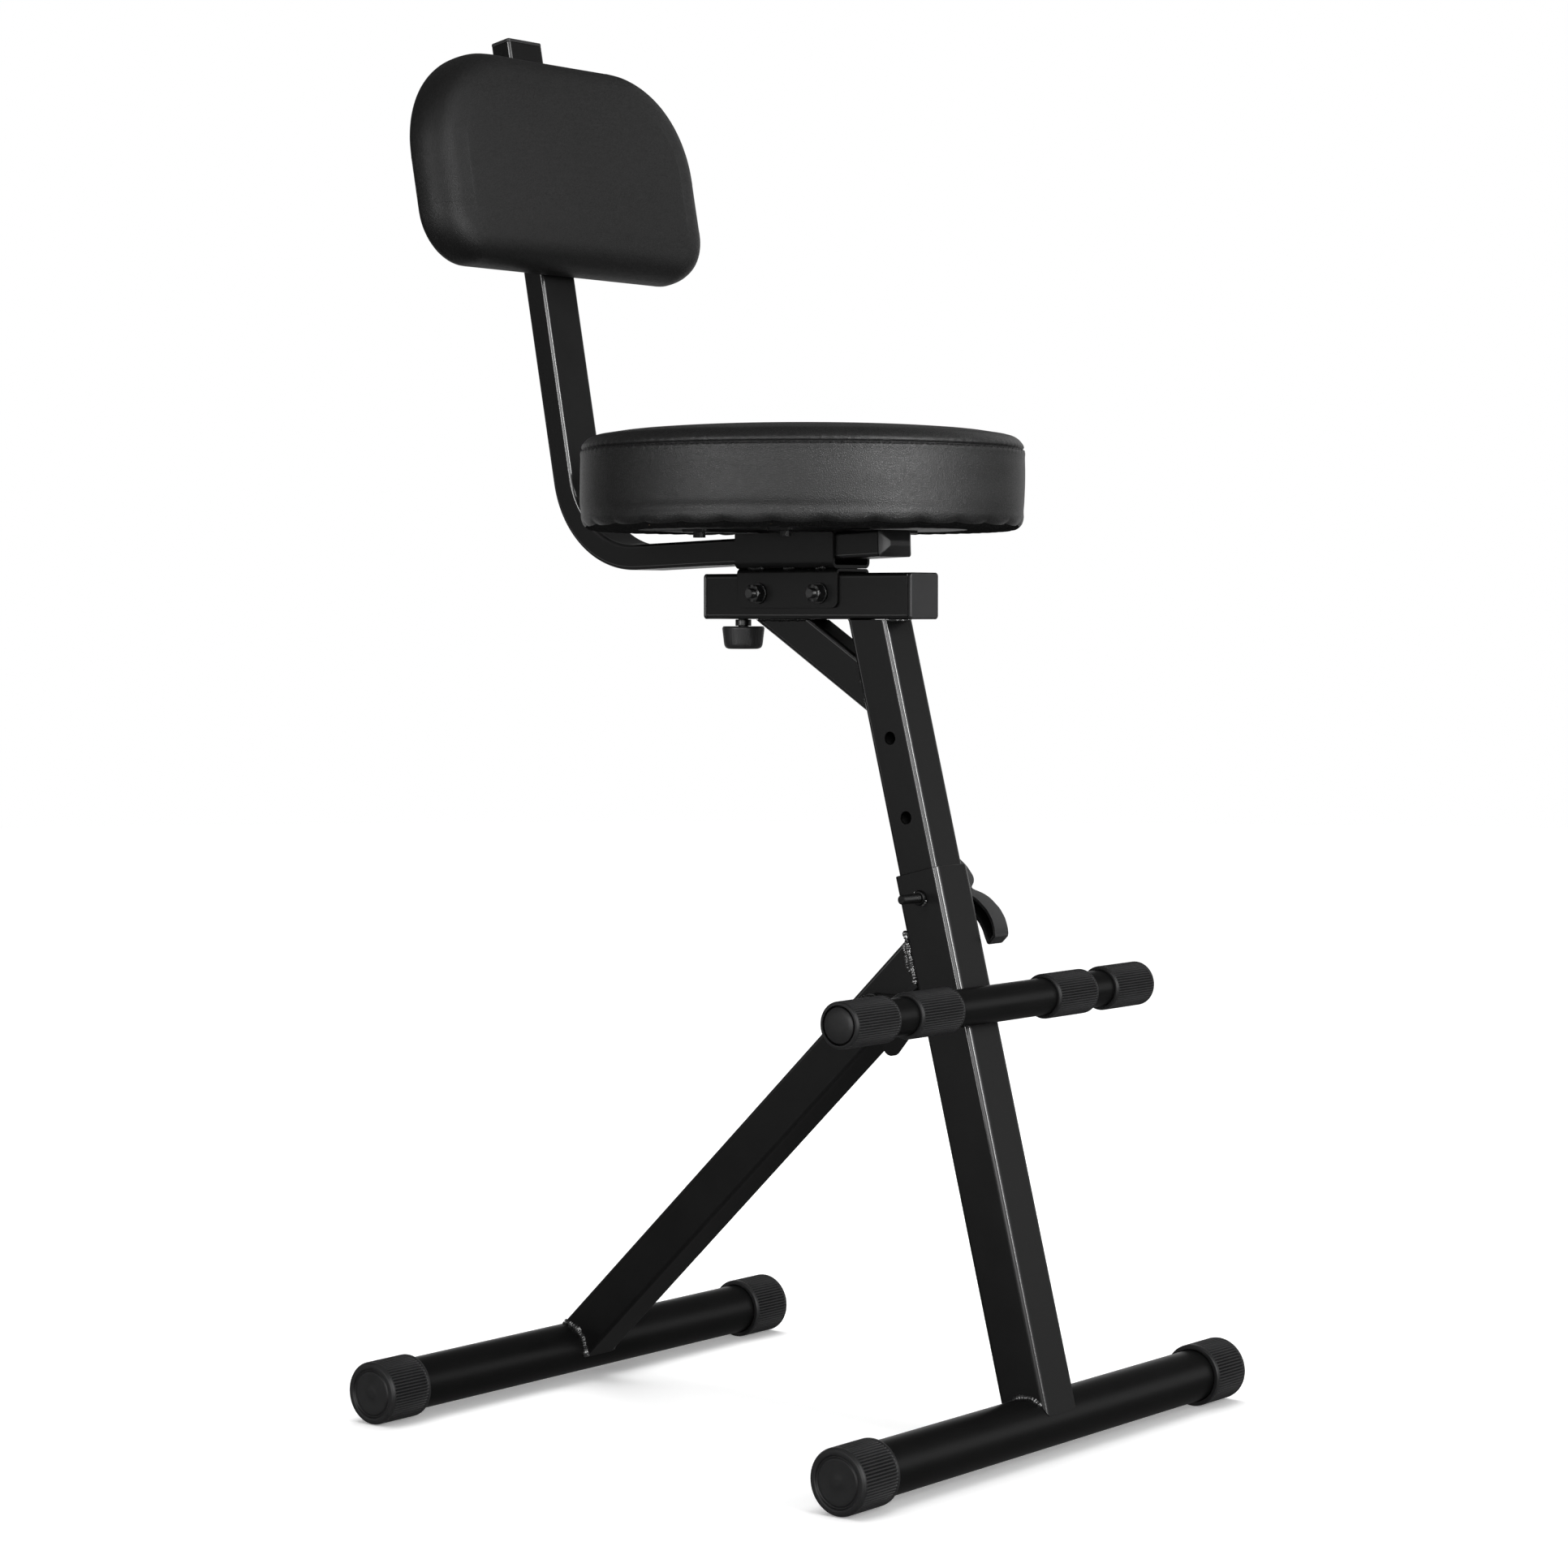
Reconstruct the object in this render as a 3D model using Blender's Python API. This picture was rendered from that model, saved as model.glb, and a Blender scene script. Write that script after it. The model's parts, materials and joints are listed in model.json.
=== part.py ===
"""Guitar stool with a sliding seat post, a sliding backrest and a fixed footrest.

Metres, +Z up, +X the sitter's left, +Y towards the backrest, the floor at Z = 0.
Inside the script Y is counted from the front foot tube's axis. The empty named stool then moves
the whole object so that Y = 0 is halfway between its front and its rear.
Pieces that touch keep weld_gap between them.
"""

import math

import bmesh
import bpy
from mathutils import Matrix, Vector

# Gaps
weld_gap = 0.0003
slide_gap = 0.0005
thread_gap = 0.0003
overrun = 0.004
merge_distance = 0.000001

# Foot tubes and their rubber caps
foot_spacing = 0.454
front_foot_span = 0.496
rear_foot_span = 0.482
foot_tube_diameter = 0.040
foot_tube_wall = 0.002
foot_cap_diameter = 0.048
foot_cap_length = 0.042
foot_cap_end = 0.0045
foot_cap_edge = 0.0018
foot_cap_rim = 0.004
foot_cap_recess = 0.0012
foot_sides = 32

# Front leg and rear leg
front_leg_width = 0.040
front_leg_wall = 0.002
front_leg_corner = 0.0035
front_leg_length = 0.415
front_leg_tilt = math.radians(14.3)
rear_leg_width = 0.035
rear_leg_wall = 0.002
rear_leg_corner = 0.003
joint_below_top = 0.054
cope_steps = 8

# Footrest
footrest_below_top = 0.1078
footrest_span = 0.381
footrest_diameter = 0.028
footrest_wall = 0.002
grip_diameter = 0.034
grip_length = 0.0525
grip_spacing = 0.0774
grip_edge = 0.0012
bar_plug_length = 0.014
bar_plug_flange = 0.0024
bar_plug_dome = 0.0012
plate_thickness = 0.003
plate_bolt_below_joint = 0.070
plate_toe_forward = 0.0177
plate_toe_drop = 0.0309
plate_notch_forward = 0.018
plate_notch_rise = 0.010
plate_corner = 0.0075
plate_weld_top = math.radians(14)
plate_weld_low = math.radians(-40)
plate_toe_angle = math.radians(-135)
plate_back_angle = math.radians(-20)
plate_under_angle = math.radians(-100)
plate_top_angle = math.radians(95)
bar_sides = 24

# Height adjustment: holes up the post, bolt with a T-handle, weld nut
bolt_below_top = 0.020
hole_pitch = 0.061
hole_diameter = 0.010
holes_above_bolt = 2
holes_below_bolt = 2
post_below_holes = 0.040
bolt_diameter = 0.008
bolt_reach = 0.044
bolt_tip_radius = 0.002
bolt_sides = 12
hole_sides = 16
weld_nut_diameter = 0.014
weld_nut_length = 0.005
handle_reach = 0.047
handle_turn = math.radians(45)
handle_top = 0.0357
handle_depth = 0.0152
handle_width = 0.011
handle_end_width = 0.007
handle_wall = 0.0024
handle_hub_diameter = 0.014
handle_bore_depth = 0.014
# (way out along an arm, height of its back) of the handle's two bowed arms
handle_arm_shares = ((0.1, 0.8), (0.23, 0.95), (0.47, 1), (0.67, 0.925), (0.9, 0.74), (1, 0.64))
handle_waist_share = 0.5

# Inner post, beam, brace
post_corner = 0.003
post_wall = 0.002
plug_flange = 0.003
plug_insert = 0.015
beam_width = 0.035
beam_wall = 0.002
beam_corner = 0.003
beam_underside = 0.6139
beam_front_reach = 0.113
beam_rear_reach = 0.0812
seat_setback = 0.0743
brace_width = 0.025
brace_depth = 0.030
brace_wall = 0.002
brace_corner = 0.003
brace_slope = math.radians(32.5)
brace_meet = 0.0105

# Saddle over the beam and cradle round the backrest tube
saddle_sheet = 0.0022
saddle_web = 0.003
saddle_drop = 0.0297
saddle_length = 0.0973
saddle_corner = 0.005
saddle_bend = 0.0035
saddle_bolt_spacing = 0.0588
saddle_bolt_middle = -0.0024
saddle_bolt_drop = 0.0153
cradle_sheet = 0.0025
cradle_floor = 0.003
cradle_length = 0.0955
cradle_middle = 0.0007
cradle_bend = 0.005
nut_width = 0.013
nut_height = 0.0065
washer_diameter = 0.016
washer_thickness = 0.0016
bolt_head_height = 0.0053
thread_beyond_nut = 0.0045

# Seat bars, board and cushion
seat_bar_length = 0.160
seat_bar_width = 0.024
seat_bar_thickness = 0.003
front_bar_middle = 0.040
rear_bar_middle = 0.043
bar_clearance = 0.0004
screw_spacing = 0.144
screw_diameter = 0.006
screw_length = 0.0130
screw_head_diameter = 0.0095
screw_head_height = 0.004
board_diameter = 0.322
board_thickness = 0.012
cushion_diameter = 0.340
cushion_band = 0.0595
cushion_seam_drop = 0.0105
cushion_crown = 0.019
cushion_hem = 0.008
cushion_bulge = 0.0015
seam_groove = 0.0015
seam_half_width = 0.003
pleat_count = 24
pleat_depth = 0.0012
# (inward, up, gathering) of the hem; (inward, up) of the shoulder; reach of the crown's rings
cushion_hem_shares = ((0.6, 0, 1), (0.2, 0.5, 0.7), (0, 1, 0.35))
cushion_bulge_share = 0.45
cushion_shoulder_shares = ((0.22, 0.6), (0.62, 0.88))
cushion_crown_shares = (0.93, 0.8, 0.6, 0.4, 0.2)

# Depth knob under the beam, and the like knob behind the backrest pad
knob_setback = 0.0585
knob_diameter = 0.033
knob_height = 0.0176
knob_taper = 0.0016
knob_edge = 0.003
knob_nut_diameter = 0.0125
knob_nut_height = 0.005
knob_grip_depth = 0.012
knob_sides = 24

# Backrest tube: a run under the seat, one bend, an upright
tube_width = 0.040
tube_depth = 0.020
tube_wall = 0.0015
tube_corner = 0.0025
tube_float = 0.0006
run_slope = math.radians(2.0)
run_length = 0.3046
corner_setback = 0.2174
bend_radius = 0.075
upright_lean = math.radians(10.6)
upright_length = 0.4236
bend_steps = 12
end_cap_edge = 0.001
end_cap_inset = 0.008
end_cap_rise = 0.005

# Backrest pad, its board and the bracket that holds it
pad_width = 0.316
pad_height = 0.1735
pad_middle = 0.3158
pad_thickness = 0.040
pad_band = 0.018
pad_top_radius = 0.088
pad_bottom_radius = 0.042
pad_hem = 0.005
# (inset, ahead) of the pad's hem and of its face; quarter turns of its round edge
pad_hem_shares = ((0.7, 0), (0.1, 0.6))
pad_round_shares = (0, 0.3, 0.6, 0.85)
pad_round_rise_share = 0.8
pad_face_shares = ((1.5, 0.93), (2.4, 1))
pad_board_margin = 0.010
pad_board_thickness = 0.010
bracket_length = 0.080
bracket_sheet = 0.002
bracket_flange = 0.022
pad_screw_length = 0.010

# Finishes: base colour, roughness, metallic
powder_coat = ((0.012, 0.012, 0.013), 0.38, 0.35)
black_zinc = ((0.03, 0.03, 0.032), 0.3, 0.9)
rubber = ((0.016, 0.016, 0.017), 0.62, 0.0)
nylon = ((0.014, 0.014, 0.015), 0.45, 0.0)
leatherette = ((0.014, 0.014, 0.015), 0.42, 0.0)
plywood = ((0.42, 0.28, 0.15), 0.7, 0.0)

# Heights and places that follow from the sizes
foot_axis = foot_cap_diameter / 2
bolt_bore = bolt_diameter + 2 * thread_gap
screw_bore = screw_diameter + 2 * thread_gap
post_width = front_leg_width - 2 * (front_leg_wall + slide_gap)
bolt_place = front_leg_length - bolt_below_top
footrest_place = front_leg_length - footrest_below_top
rear_leg_joint = front_leg_length - joint_below_top
beam_top = beam_underside + beam_width
seat_middle = (beam_underside - foot_axis) * math.tan(front_leg_tilt) + seat_setback
saddle_top = beam_top + weld_gap + saddle_web
saddle_width = beam_width + 2 * (weld_gap + saddle_sheet)
cradle_base = saddle_top + weld_gap
cradle_width = tube_width + 2 * (slide_gap + cradle_sheet)
cradle_rear = seat_middle + cradle_middle + cradle_length / 2
tube_half_rise = tube_depth / 2 / math.cos(run_slope)
corner_back = seat_middle + corner_setback


def run_height(back):
    """Height of the run's centre line where Y is back: lowest at the rear of the cradle."""
    lowest = cradle_base + cradle_floor + tube_float + tube_half_rise
    return lowest + (cradle_rear - back) * math.tan(run_slope)


bar_front_edge = seat_middle - front_bar_middle - seat_bar_width / 2
bar_base = run_height(bar_front_edge) + tube_half_rise + bar_clearance
board_base = bar_base + seat_bar_thickness + weld_gap
knob_back = seat_middle + knob_setback
plate_inner = front_leg_width / 2 + weld_gap
corner_point = Vector((0, corner_back, run_height(corner_back)))
bracket_back = tube_depth / 2 + slide_gap + bracket_sheet
body_places = {}


def turn_about_x(point, angle):
    """Place with its origin at point and its local axes turned about X."""
    return Matrix.Translation(point) @ Matrix.Rotation(angle, 4, "X")


leg_place = turn_about_x((0, 0, foot_axis), -front_leg_tilt)
joint_point = leg_place @ Vector((0, 0, rear_leg_joint))
rear_leg_angle = math.atan2(foot_spacing - joint_point.y, joint_point.z - foot_axis)
rear_leg_place = turn_about_x((0, foot_spacing, foot_axis), rear_leg_angle)
bolt_point = leg_place @ Vector((0, 0, bolt_place))
rear_leg_reach = (joint_point - rear_leg_place.translation).length
plate_bolt = rear_leg_place @ Vector((0, 0, rear_leg_reach - plate_bolt_below_joint))
upright_place = turn_about_x(corner_point, -upright_lean)
run_place = turn_about_x(corner_point, -math.pi / 2 - run_slope)
footrest_point = leg_place @ Vector(
    (0, -(front_leg_width / 2 + weld_gap + footrest_diameter / 2), footrest_place)
)
clamp_point = upright_place @ Vector((0, bracket_back, pad_middle))
pad_clamp_place = turn_about_x(clamp_point, math.pi / 2 - upright_lean)


def along_x(point, side=1):
    """Place at point whose local Z runs along +X, or along -X for side -1."""
    return Matrix.Translation(point) @ Matrix.Rotation(side * math.pi / 2, 4, "Y")


def clear_scene():
    """Remove every object that is in the scene."""
    for item in list(bpy.data.objects):
        bpy.data.objects.remove(item, do_unlink=True)


def add_empty(name, parent, place):
    """Empty that carries a body; place is in the stool's frame."""
    empty = bpy.data.objects.new(name, None)
    bpy.context.scene.collection.objects.link(empty)
    empty.parent = parent
    empty.matrix_local = body_places[parent.name].inverted() @ place if parent else place
    body_places[name] = place if parent else Matrix.Identity(4)
    return empty


def make_material(name, finish):
    """Principled material for one piece."""
    colour, roughness, metallic = finish
    material = bpy.data.materials.new(name)
    material.use_nodes = True
    surface = material.node_tree.nodes["Principled BSDF"]
    surface.inputs["Base Color"].default_value = (*colour, 1)
    surface.inputs["Roughness"].default_value = roughness
    surface.inputs["Metallic"].default_value = metallic
    material.diffuse_color = (*colour, 1)
    return material


def add_piece(name, body, place, shape, finish, smooth=False):
    """Turn a bmesh into a named object on a body; place is in the stool's frame."""
    mesh = bpy.data.meshes.new(name)
    bmesh.ops.recalc_face_normals(shape, faces=shape.faces)
    shape.to_mesh(mesh)
    shape.free()
    if smooth:
        mesh.shade_smooth()
        mesh.set_sharp_from_angle(angle=math.radians(35))
    if finish:
        mesh.materials.append(make_material(name, finish))
    piece = bpy.data.objects.new(name, mesh)
    bpy.context.scene.collection.objects.link(piece)
    piece.parent = body
    piece.matrix_local = body_places[body.name].inverted() @ place
    return piece


def add_boolean(piece, place, shape, operation="DIFFERENCE"):
    """Cut a shape out of a piece, or join it on, with an exact Boolean and a hidden object."""
    body = piece.parent
    cutter = add_piece("cut_" + piece.name, body, place, shape, None)
    cutter.hide_render = True
    cutter.display_type = "WIRE"
    modifier = piece.modifiers.new(cutter.name, "BOOLEAN")
    modifier.operation = operation
    modifier.object = cutter
    modifier.solver = "EXACT"


def box_section(width, depth, radius, corner_steps=3, side_steps=1):
    """Points (x, y) round a rectangle with round corners, counter-clockwise."""
    points = []
    spots = ((1, 1, 0), (-1, 1, 1), (-1, -1, 2), (1, -1, 3))
    for right, up, quarter in spots:
        centre = Vector((right * (width / 2 - radius), up * (depth / 2 - radius)))
        for step in range(corner_steps + 1):
            angle = (quarter + step / corner_steps) * math.pi / 2
            points.append(centre + radius * Vector((math.cos(angle), math.sin(angle))))
        start = points[-1]
        turned = (quarter + 1) * math.pi / 2
        flat = (depth if quarter % 2 else width) - 2 * radius
        ahead = Vector((-math.sin(turned), math.cos(turned))) * flat
        points += [start + ahead * step / side_steps for step in range(1, side_steps)]
    return points


def round_section(diameter, sides=bar_sides):
    """Points (x, y) round a circle whose flats are tangent to it, with a flat on each axis."""
    radius = diameter / 2 / math.cos(math.pi / sides)
    angles = [(step + 0.5) * 2 * math.pi / sides for step in range(sides)]
    return [Vector((radius * math.cos(angle), radius * math.sin(angle))) for angle in angles]


def loft(shape, rings, closed=False):
    """Bridge rings of as many points; closed joins the last to the first, else both ends are capped."""
    loops = [[shape.verts.new(point) for point in ring] for ring in rings]
    pairs = list(zip(loops, loops[1:]))
    if closed:
        pairs.append((loops[-1], loops[0]))
    else:
        shape.faces.new(loops[0])
        shape.faces.new(loops[-1])
    for low, high in pairs:
        for index, corner in enumerate(low):
            after = (index + 1) % len(low)
            shape.faces.new((corner, low[after], high[after], high[index]))


def level(height):
    """End of a tube that is square to it."""
    return lambda x, y: height


def on_plane(place, point, normal):
    """End of a tube that lies on a plane; the result is in the tube's own frame."""
    spot = place.inverted() @ Vector(point)
    facing = place.inverted().to_3x3() @ Vector(normal)
    return lambda x, y: (facing.dot(spot) - facing.x * x - facing.y * y) / facing.z


def on_round(radius):
    """End of a tube that is coped to a round bar along X through the tube's own origin."""
    return lambda x, y: math.sqrt(max(radius * radius - y * y, 0))


def tube_shape(outer, inner, low, high):
    """Hollow straight tube between two ends, from its outer and inner sections."""
    shape = bmesh.new()
    walls = ((outer, low), (outer, high), (inner, high), (inner, low))
    rings = [[Vector((x, y, end(x, y))) for x, y in section] for section, end in walls]
    loft(shape, rings, closed=True)
    return shape


def box_tube(width, depth, wall, radius, low, high, side_steps=1):
    """Hollow box tube with round corners."""
    outer = box_section(width, depth, radius, side_steps=side_steps)
    inner_radius = max(radius - wall, wall / 4)
    inner = box_section(width - 2 * wall, depth - 2 * wall, inner_radius, side_steps=side_steps)
    return tube_shape(outer, inner, low, high)


def stack(sections):
    """Solid from (section, height) pairs, one on the other."""
    shape = bmesh.new()
    loft(shape, [[Vector((x, y, height)) for x, y in section] for section, height in sections])
    return shape


def turned(outline, sides=bar_sides, ring=False):
    """Turn a half outline of (radius, height) points about Z; ring closes the outline on itself."""
    shape = bmesh.new()
    start = Matrix.Rotation(math.pi / sides, 3, "Z")
    corners = [shape.verts.new(start @ Vector((radius, 0, height))) for radius, height in outline]
    edges = [shape.edges.new(pair) for pair in zip(corners, corners[1:])]
    if ring:
        edges.append(shape.edges.new((corners[-1], corners[0])))
    bmesh.ops.spin(
        shape, geom=corners + edges, cent=(0, 0, 0), axis=(0, 0, 1),
        angle=2 * math.pi, steps=sides, use_merge=True,
    )
    bmesh.ops.remove_doubles(shape, verts=shape.verts, dist=merge_distance)
    return shape


def rod(diameter, low, high, sides=hole_sides):
    """Plain round bar along Z."""
    return turned([(0, low), (diameter / 2, low), (diameter / 2, high), (0, high)], sides)


def ring_shape(outer, inner, low, high, sides=hole_sides):
    """Flat ring along Z, such as a washer or a spacer."""
    corners = [(inner / 2, low), (outer / 2, low), (outer / 2, high), (inner / 2, high)]
    return turned(corners, sides, ring=True)


def plate_from(points, thickness):
    """Flat plate in the local XY plane, thick along Z."""
    shape = bmesh.new()
    face = shape.faces.new([shape.verts.new((x, y, 0)) for x, y in points])
    raised = bmesh.ops.extrude_face_region(shape, geom=[face])["geom"]
    lifted = [item for item in raised if isinstance(item, bmesh.types.BMVert)]
    bmesh.ops.translate(shape, verts=lifted, vec=(0, 0, thickness))
    return shape


def join_shapes(shapes):
    """Put several separate solids in one bmesh."""
    joined = bmesh.new()
    for shape in shapes:
        mesh = bpy.data.meshes.new("joined")
        shape.to_mesh(mesh)
        shape.free()
        joined.from_mesh(mesh)
        bpy.data.meshes.remove(mesh)
    return joined


def moved(shape, place):
    """Move a bmesh by a matrix."""
    shape.transform(place)
    return shape


def arc(middle, radius, start, end, steps):
    """Points on an arc from one angle to another."""
    angles = [start + (end - start) * step / steps for step in range(steps + 1)]
    return [(middle[0] + radius * math.cos(a), middle[1] + radius * math.sin(a)) for a in angles]


def add_feet(stool):
    """Foot tubes and four rubber caps, each cap resting on a flat of its round."""
    inner_radius = foot_tube_diameter / 2 + weld_gap
    outer_radius = foot_cap_diameter / 2
    floor = foot_cap_length - foot_cap_end
    disc = foot_cap_length - foot_cap_recess
    stretch = 1 / math.cos(math.pi / foot_sides)
    cap = [
        (0, floor), (inner_radius, floor), (inner_radius, 0), (outer_radius, 0),
        (outer_radius, foot_cap_length - foot_cap_edge),
        (outer_radius - foot_cap_edge, foot_cap_length),
        (outer_radius - foot_cap_rim, foot_cap_length), (outer_radius - foot_cap_rim, disc), (0, disc),
    ]
    for end, back, span in (("front", 0, front_foot_span), ("rear", foot_spacing, rear_foot_span)):
        half = span / 2 - foot_cap_end - weld_gap
        outer = round_section(foot_tube_diameter, foot_sides)
        inner = round_section(foot_tube_diameter - 2 * foot_tube_wall, foot_sides)
        tube = tube_shape(outer, inner, level(-half), level(half))
        add_piece(end + "_foot_tube", stool, along_x((0, back, foot_axis)), tube, powder_coat, True)
        for side, sign in (("left", 1), ("right", -1)):
            spot = (sign * (span / 2 - foot_cap_length), back, foot_axis)
            shape = turned([(radius * stretch, height) for radius, height in cap], foot_sides)
            add_piece(end + "_" + side + "_foot_cap", stool, along_x(spot, sign), shape, rubber, True)


def add_legs(stool):
    """Front leg with its bolt hole, and rear leg coped between the front leg and the rear foot."""
    cope = on_round(foot_tube_diameter / 2 / math.cos(math.pi / foot_sides) + weld_gap)
    shape = box_tube(
        front_leg_width, front_leg_width, front_leg_wall, front_leg_corner,
        cope, level(front_leg_length), side_steps=cope_steps,
    )
    leg = add_piece("front_leg", stool, leg_place, shape, powder_coat, True)
    half = front_leg_width / 2 + overrun
    hole = rod(bolt_bore, -half, half)
    add_boolean(leg, along_x(bolt_point), hole)
    normal = leg_place.to_3x3() @ Vector((0, 1, 0))
    face = leg_place @ Vector((0, front_leg_width / 2 + weld_gap, 0))
    top = on_plane(rear_leg_place, face, normal)
    shape = box_tube(
        rear_leg_width, rear_leg_width, rear_leg_wall, rear_leg_corner, cope, top, side_steps=cope_steps
    )
    rear = add_piece("rear_leg", stool, rear_leg_place, shape, powder_coat, True)
    hole = rod(bolt_bore, -half, half)
    add_boolean(rear, along_x(plate_bolt), hole)


def add_footrest(stool):
    """Footrest bar with plugs and grips, two side plates and their bolt through the rear leg."""
    half = footrest_span / 2 - bar_plug_flange - weld_gap
    outer = round_section(footrest_diameter)
    inner_diameter = footrest_diameter - 2 * footrest_wall
    bar = tube_shape(outer, round_section(inner_diameter), level(-half), level(half))
    add_piece("footrest_bar", stool, along_x(footrest_point), bar, powder_coat, True)
    bore = footrest_diameter / 2 / math.cos(math.pi / bar_sides) + weld_gap
    grip_radius = grip_diameter / 2
    grip = [
        (bore, 0), (grip_radius - grip_edge, 0), (grip_radius, grip_edge),
        (grip_radius, grip_length - grip_edge), (grip_radius - grip_edge, grip_length), (bore, grip_length),
    ]
    insert = inner_diameter / 2 - weld_gap
    face = footrest_diameter / 2 - weld_gap
    plug = [
        (0, -bar_plug_length), (insert, -bar_plug_length), (insert, 0), (face, 0),
        (face, bar_plug_flange - bar_plug_dome), (face - bar_plug_dome, bar_plug_flange),
        (0, bar_plug_flange + bar_plug_dome),
    ]
    for side, sign in (("left", 1), ("right", -1)):
        outer_start = footrest_span / 2 - grip_length
        for kind, start in (("outer", outer_start), ("inner", outer_start - grip_spacing)):
            spot = footrest_point + Vector((sign * start, 0, 0))
            name = side + "_" + kind + "_grip"
            add_piece(name, stool, along_x(spot, sign), turned(grip, ring=True), rubber, True)
        spot = footrest_point + Vector((sign * (half + weld_gap), 0, 0))
        add_piece(side + "_bar_plug", stool, along_x(spot, sign), turned(plug), nylon, True)
        add_footrest_plate(stool, side, sign)
    add_footrest_bolt(stool)


def add_footrest_plate(stool, side, sign):
    """Plate from the bar back along the front leg's side to the bolt; the right one has a toe."""
    centre = (footrest_point.y, footrest_point.z)
    bolt = (plate_bolt.y, plate_bolt.z)
    toe = (plate_bolt.y - plate_toe_forward, plate_bolt.z - plate_toe_drop)
    weld_radius = footrest_diameter / 2 / math.cos(math.pi / bar_sides) + weld_gap
    outline = arc(centre, weld_radius, plate_weld_top, plate_weld_low, 4)
    if sign > 0:
        outline += arc(bolt, plate_corner, plate_under_angle, plate_top_angle, 8)
    else:
        outline.append((toe[0] - plate_notch_forward, toe[1] + plate_notch_rise))
        outline += arc(toe, plate_corner, plate_toe_angle, plate_back_angle, 5)
        outline += arc(bolt, plate_corner, plate_back_angle, plate_top_angle, 5)
    shape = plate_from(outline, plate_thickness)
    inner = plate_inner if sign > 0 else -plate_inner - plate_thickness
    stand = Matrix(((0, 0, 1, inner), (1, 0, 0, 0), (0, 1, 0, 0), (0, 0, 0, 1)))
    plate = add_piece(side + "_footrest_plate", stool, stand, shape, powder_coat)
    half = plate_inner + plate_thickness + overrun
    hole = rod(bolt_bore, -half, half)
    add_boolean(plate, along_x(plate_bolt), hole)


def add_footrest_bolt(stool):
    """Bolt and nut through both plates and the rear leg, with spacers beside the narrower leg."""
    add_through_bolt("footrest", stool, plate_bolt, plate_inner + plate_thickness)
    inside = rear_leg_width / 2 + weld_gap
    for side, sign in (("left", 1), ("right", -1)):
        spacer = ring_shape(washer_diameter, bolt_bore, inside, plate_inner - weld_gap)
        add_piece(side + "_footrest_spacer", stool, along_x(plate_bolt, sign), spacer, black_zinc, True)


def add_through_bolt(name, body, spot, reach):
    """Bolt along X with its head on the left and a nut with a washer face on the right."""
    head = reach + weld_gap
    nut_top = head + washer_thickness + nut_height
    tip = nut_top + thread_beyond_nut
    chamfer = bolt_tip_radius / 2
    outline = [
        (0, -tip), (bolt_diameter / 2 - chamfer, -tip), (bolt_diameter / 2, chamfer - tip),
        (bolt_diameter / 2, head), (nut_width / 2, head), (nut_width / 2, head + bolt_head_height),
        (0, head + bolt_head_height),
    ]
    add_piece(name + "_bolt", body, along_x(spot), turned(outline, bolt_sides), black_zinc, True)
    nut = nut_shape(head, head + washer_thickness, nut_top)
    add_piece(name + "_nut", body, along_x(spot, -1), nut, black_zinc)


def nut_shape(low, washer_top, high):
    """Hexagon nut on its round washer face, with a round bore."""
    hexagon = []
    for index in range(bolt_sides):
        angle = (index + 0.5) * 2 * math.pi / bolt_sides
        off_flat = (angle + math.pi / 6) % (math.pi / 3) - math.pi / 6
        reach = nut_width / 2 / math.cos(off_flat)
        hexagon.append(Vector((reach * math.cos(angle), reach * math.sin(angle))))
    bore = round_section(bolt_bore, bolt_sides)
    washer = round_section(washer_diameter, bolt_sides)
    layers = (
        (bore, low), (washer, low), (washer, washer_top),
        (hexagon, washer_top), (hexagon, high), (bore, high),
    )
    rings = [[Vector((x, y, height)) for x, y in section] for section, height in layers]
    shape = bmesh.new()
    loft(shape, rings, closed=True)
    return shape


def add_height_parts(stool, height_bolt):
    """Weld nut on the leg; T-handle, shank and free end of the bolt that turns in it."""
    face = front_leg_width / 2 + weld_gap
    nut = ring_shape(weld_nut_diameter, bolt_bore, face, face + weld_nut_length)
    add_piece("height_weld_nut", stool, along_x(bolt_point, -1), nut, powder_coat, True)
    inside = post_width / 2 + weld_gap
    tip = [
        (0, inside), (bolt_diameter / 2, inside), (bolt_diameter / 2, bolt_reach - bolt_tip_radius),
        (bolt_diameter / 2 - bolt_tip_radius, bolt_reach), (0, bolt_reach),
    ]
    end = turned(tip, hole_sides)
    add_piece("height_bolt_end", height_bolt, along_x(bolt_point, -1), end, black_zinc, True)
    hub_face = front_leg_width / 2 + weld_gap
    shank = rod(bolt_diameter, inside, hub_face + handle_bore_depth - weld_gap)
    add_piece("height_bolt_shank", height_bolt, along_x(bolt_point), shank, black_zinc, True)
    place = along_x(bolt_point + Vector((hub_face, 0, 0))) @ Matrix.Rotation(-handle_turn, 4, "Z")
    handle = add_piece("t_handle", height_bolt, place, handle_shape(0), nylon, True)
    add_boolean(handle, place, handle_shape(handle_wall))
    hub = rod(handle_hub_diameter, 0, handle_top * handle_waist_share)
    add_boolean(handle, place, hub, "UNION")
    add_boolean(handle, place, rod(bolt_bore, -overrun, handle_bore_depth))


def handle_shape(inset):
    """Two bowed arms of the T-handle along local X; an inset one is their hollow, open to the leg."""
    half = [(share, height) for share, height in handle_arm_shares]
    backs = [(-share, height) for share, height in reversed(half)] + [(0, handle_waist_share)] + half
    rings = []
    for share, height in backs:
        top = handle_top * height - inset
        low = handle_top * height - handle_depth - (overrun if inset else 0)
        width = handle_width - share * share * (handle_width - handle_end_width) - 2 * inset
        section = box_section(width, top - low, width / 4, corner_steps=2)
        out = share * (handle_reach - inset)
        rings.append([Vector((out, y, z + (top + low) / 2)) for y, z in section])
    shape = bmesh.new()
    loft(shape, rings)
    return shape


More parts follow.
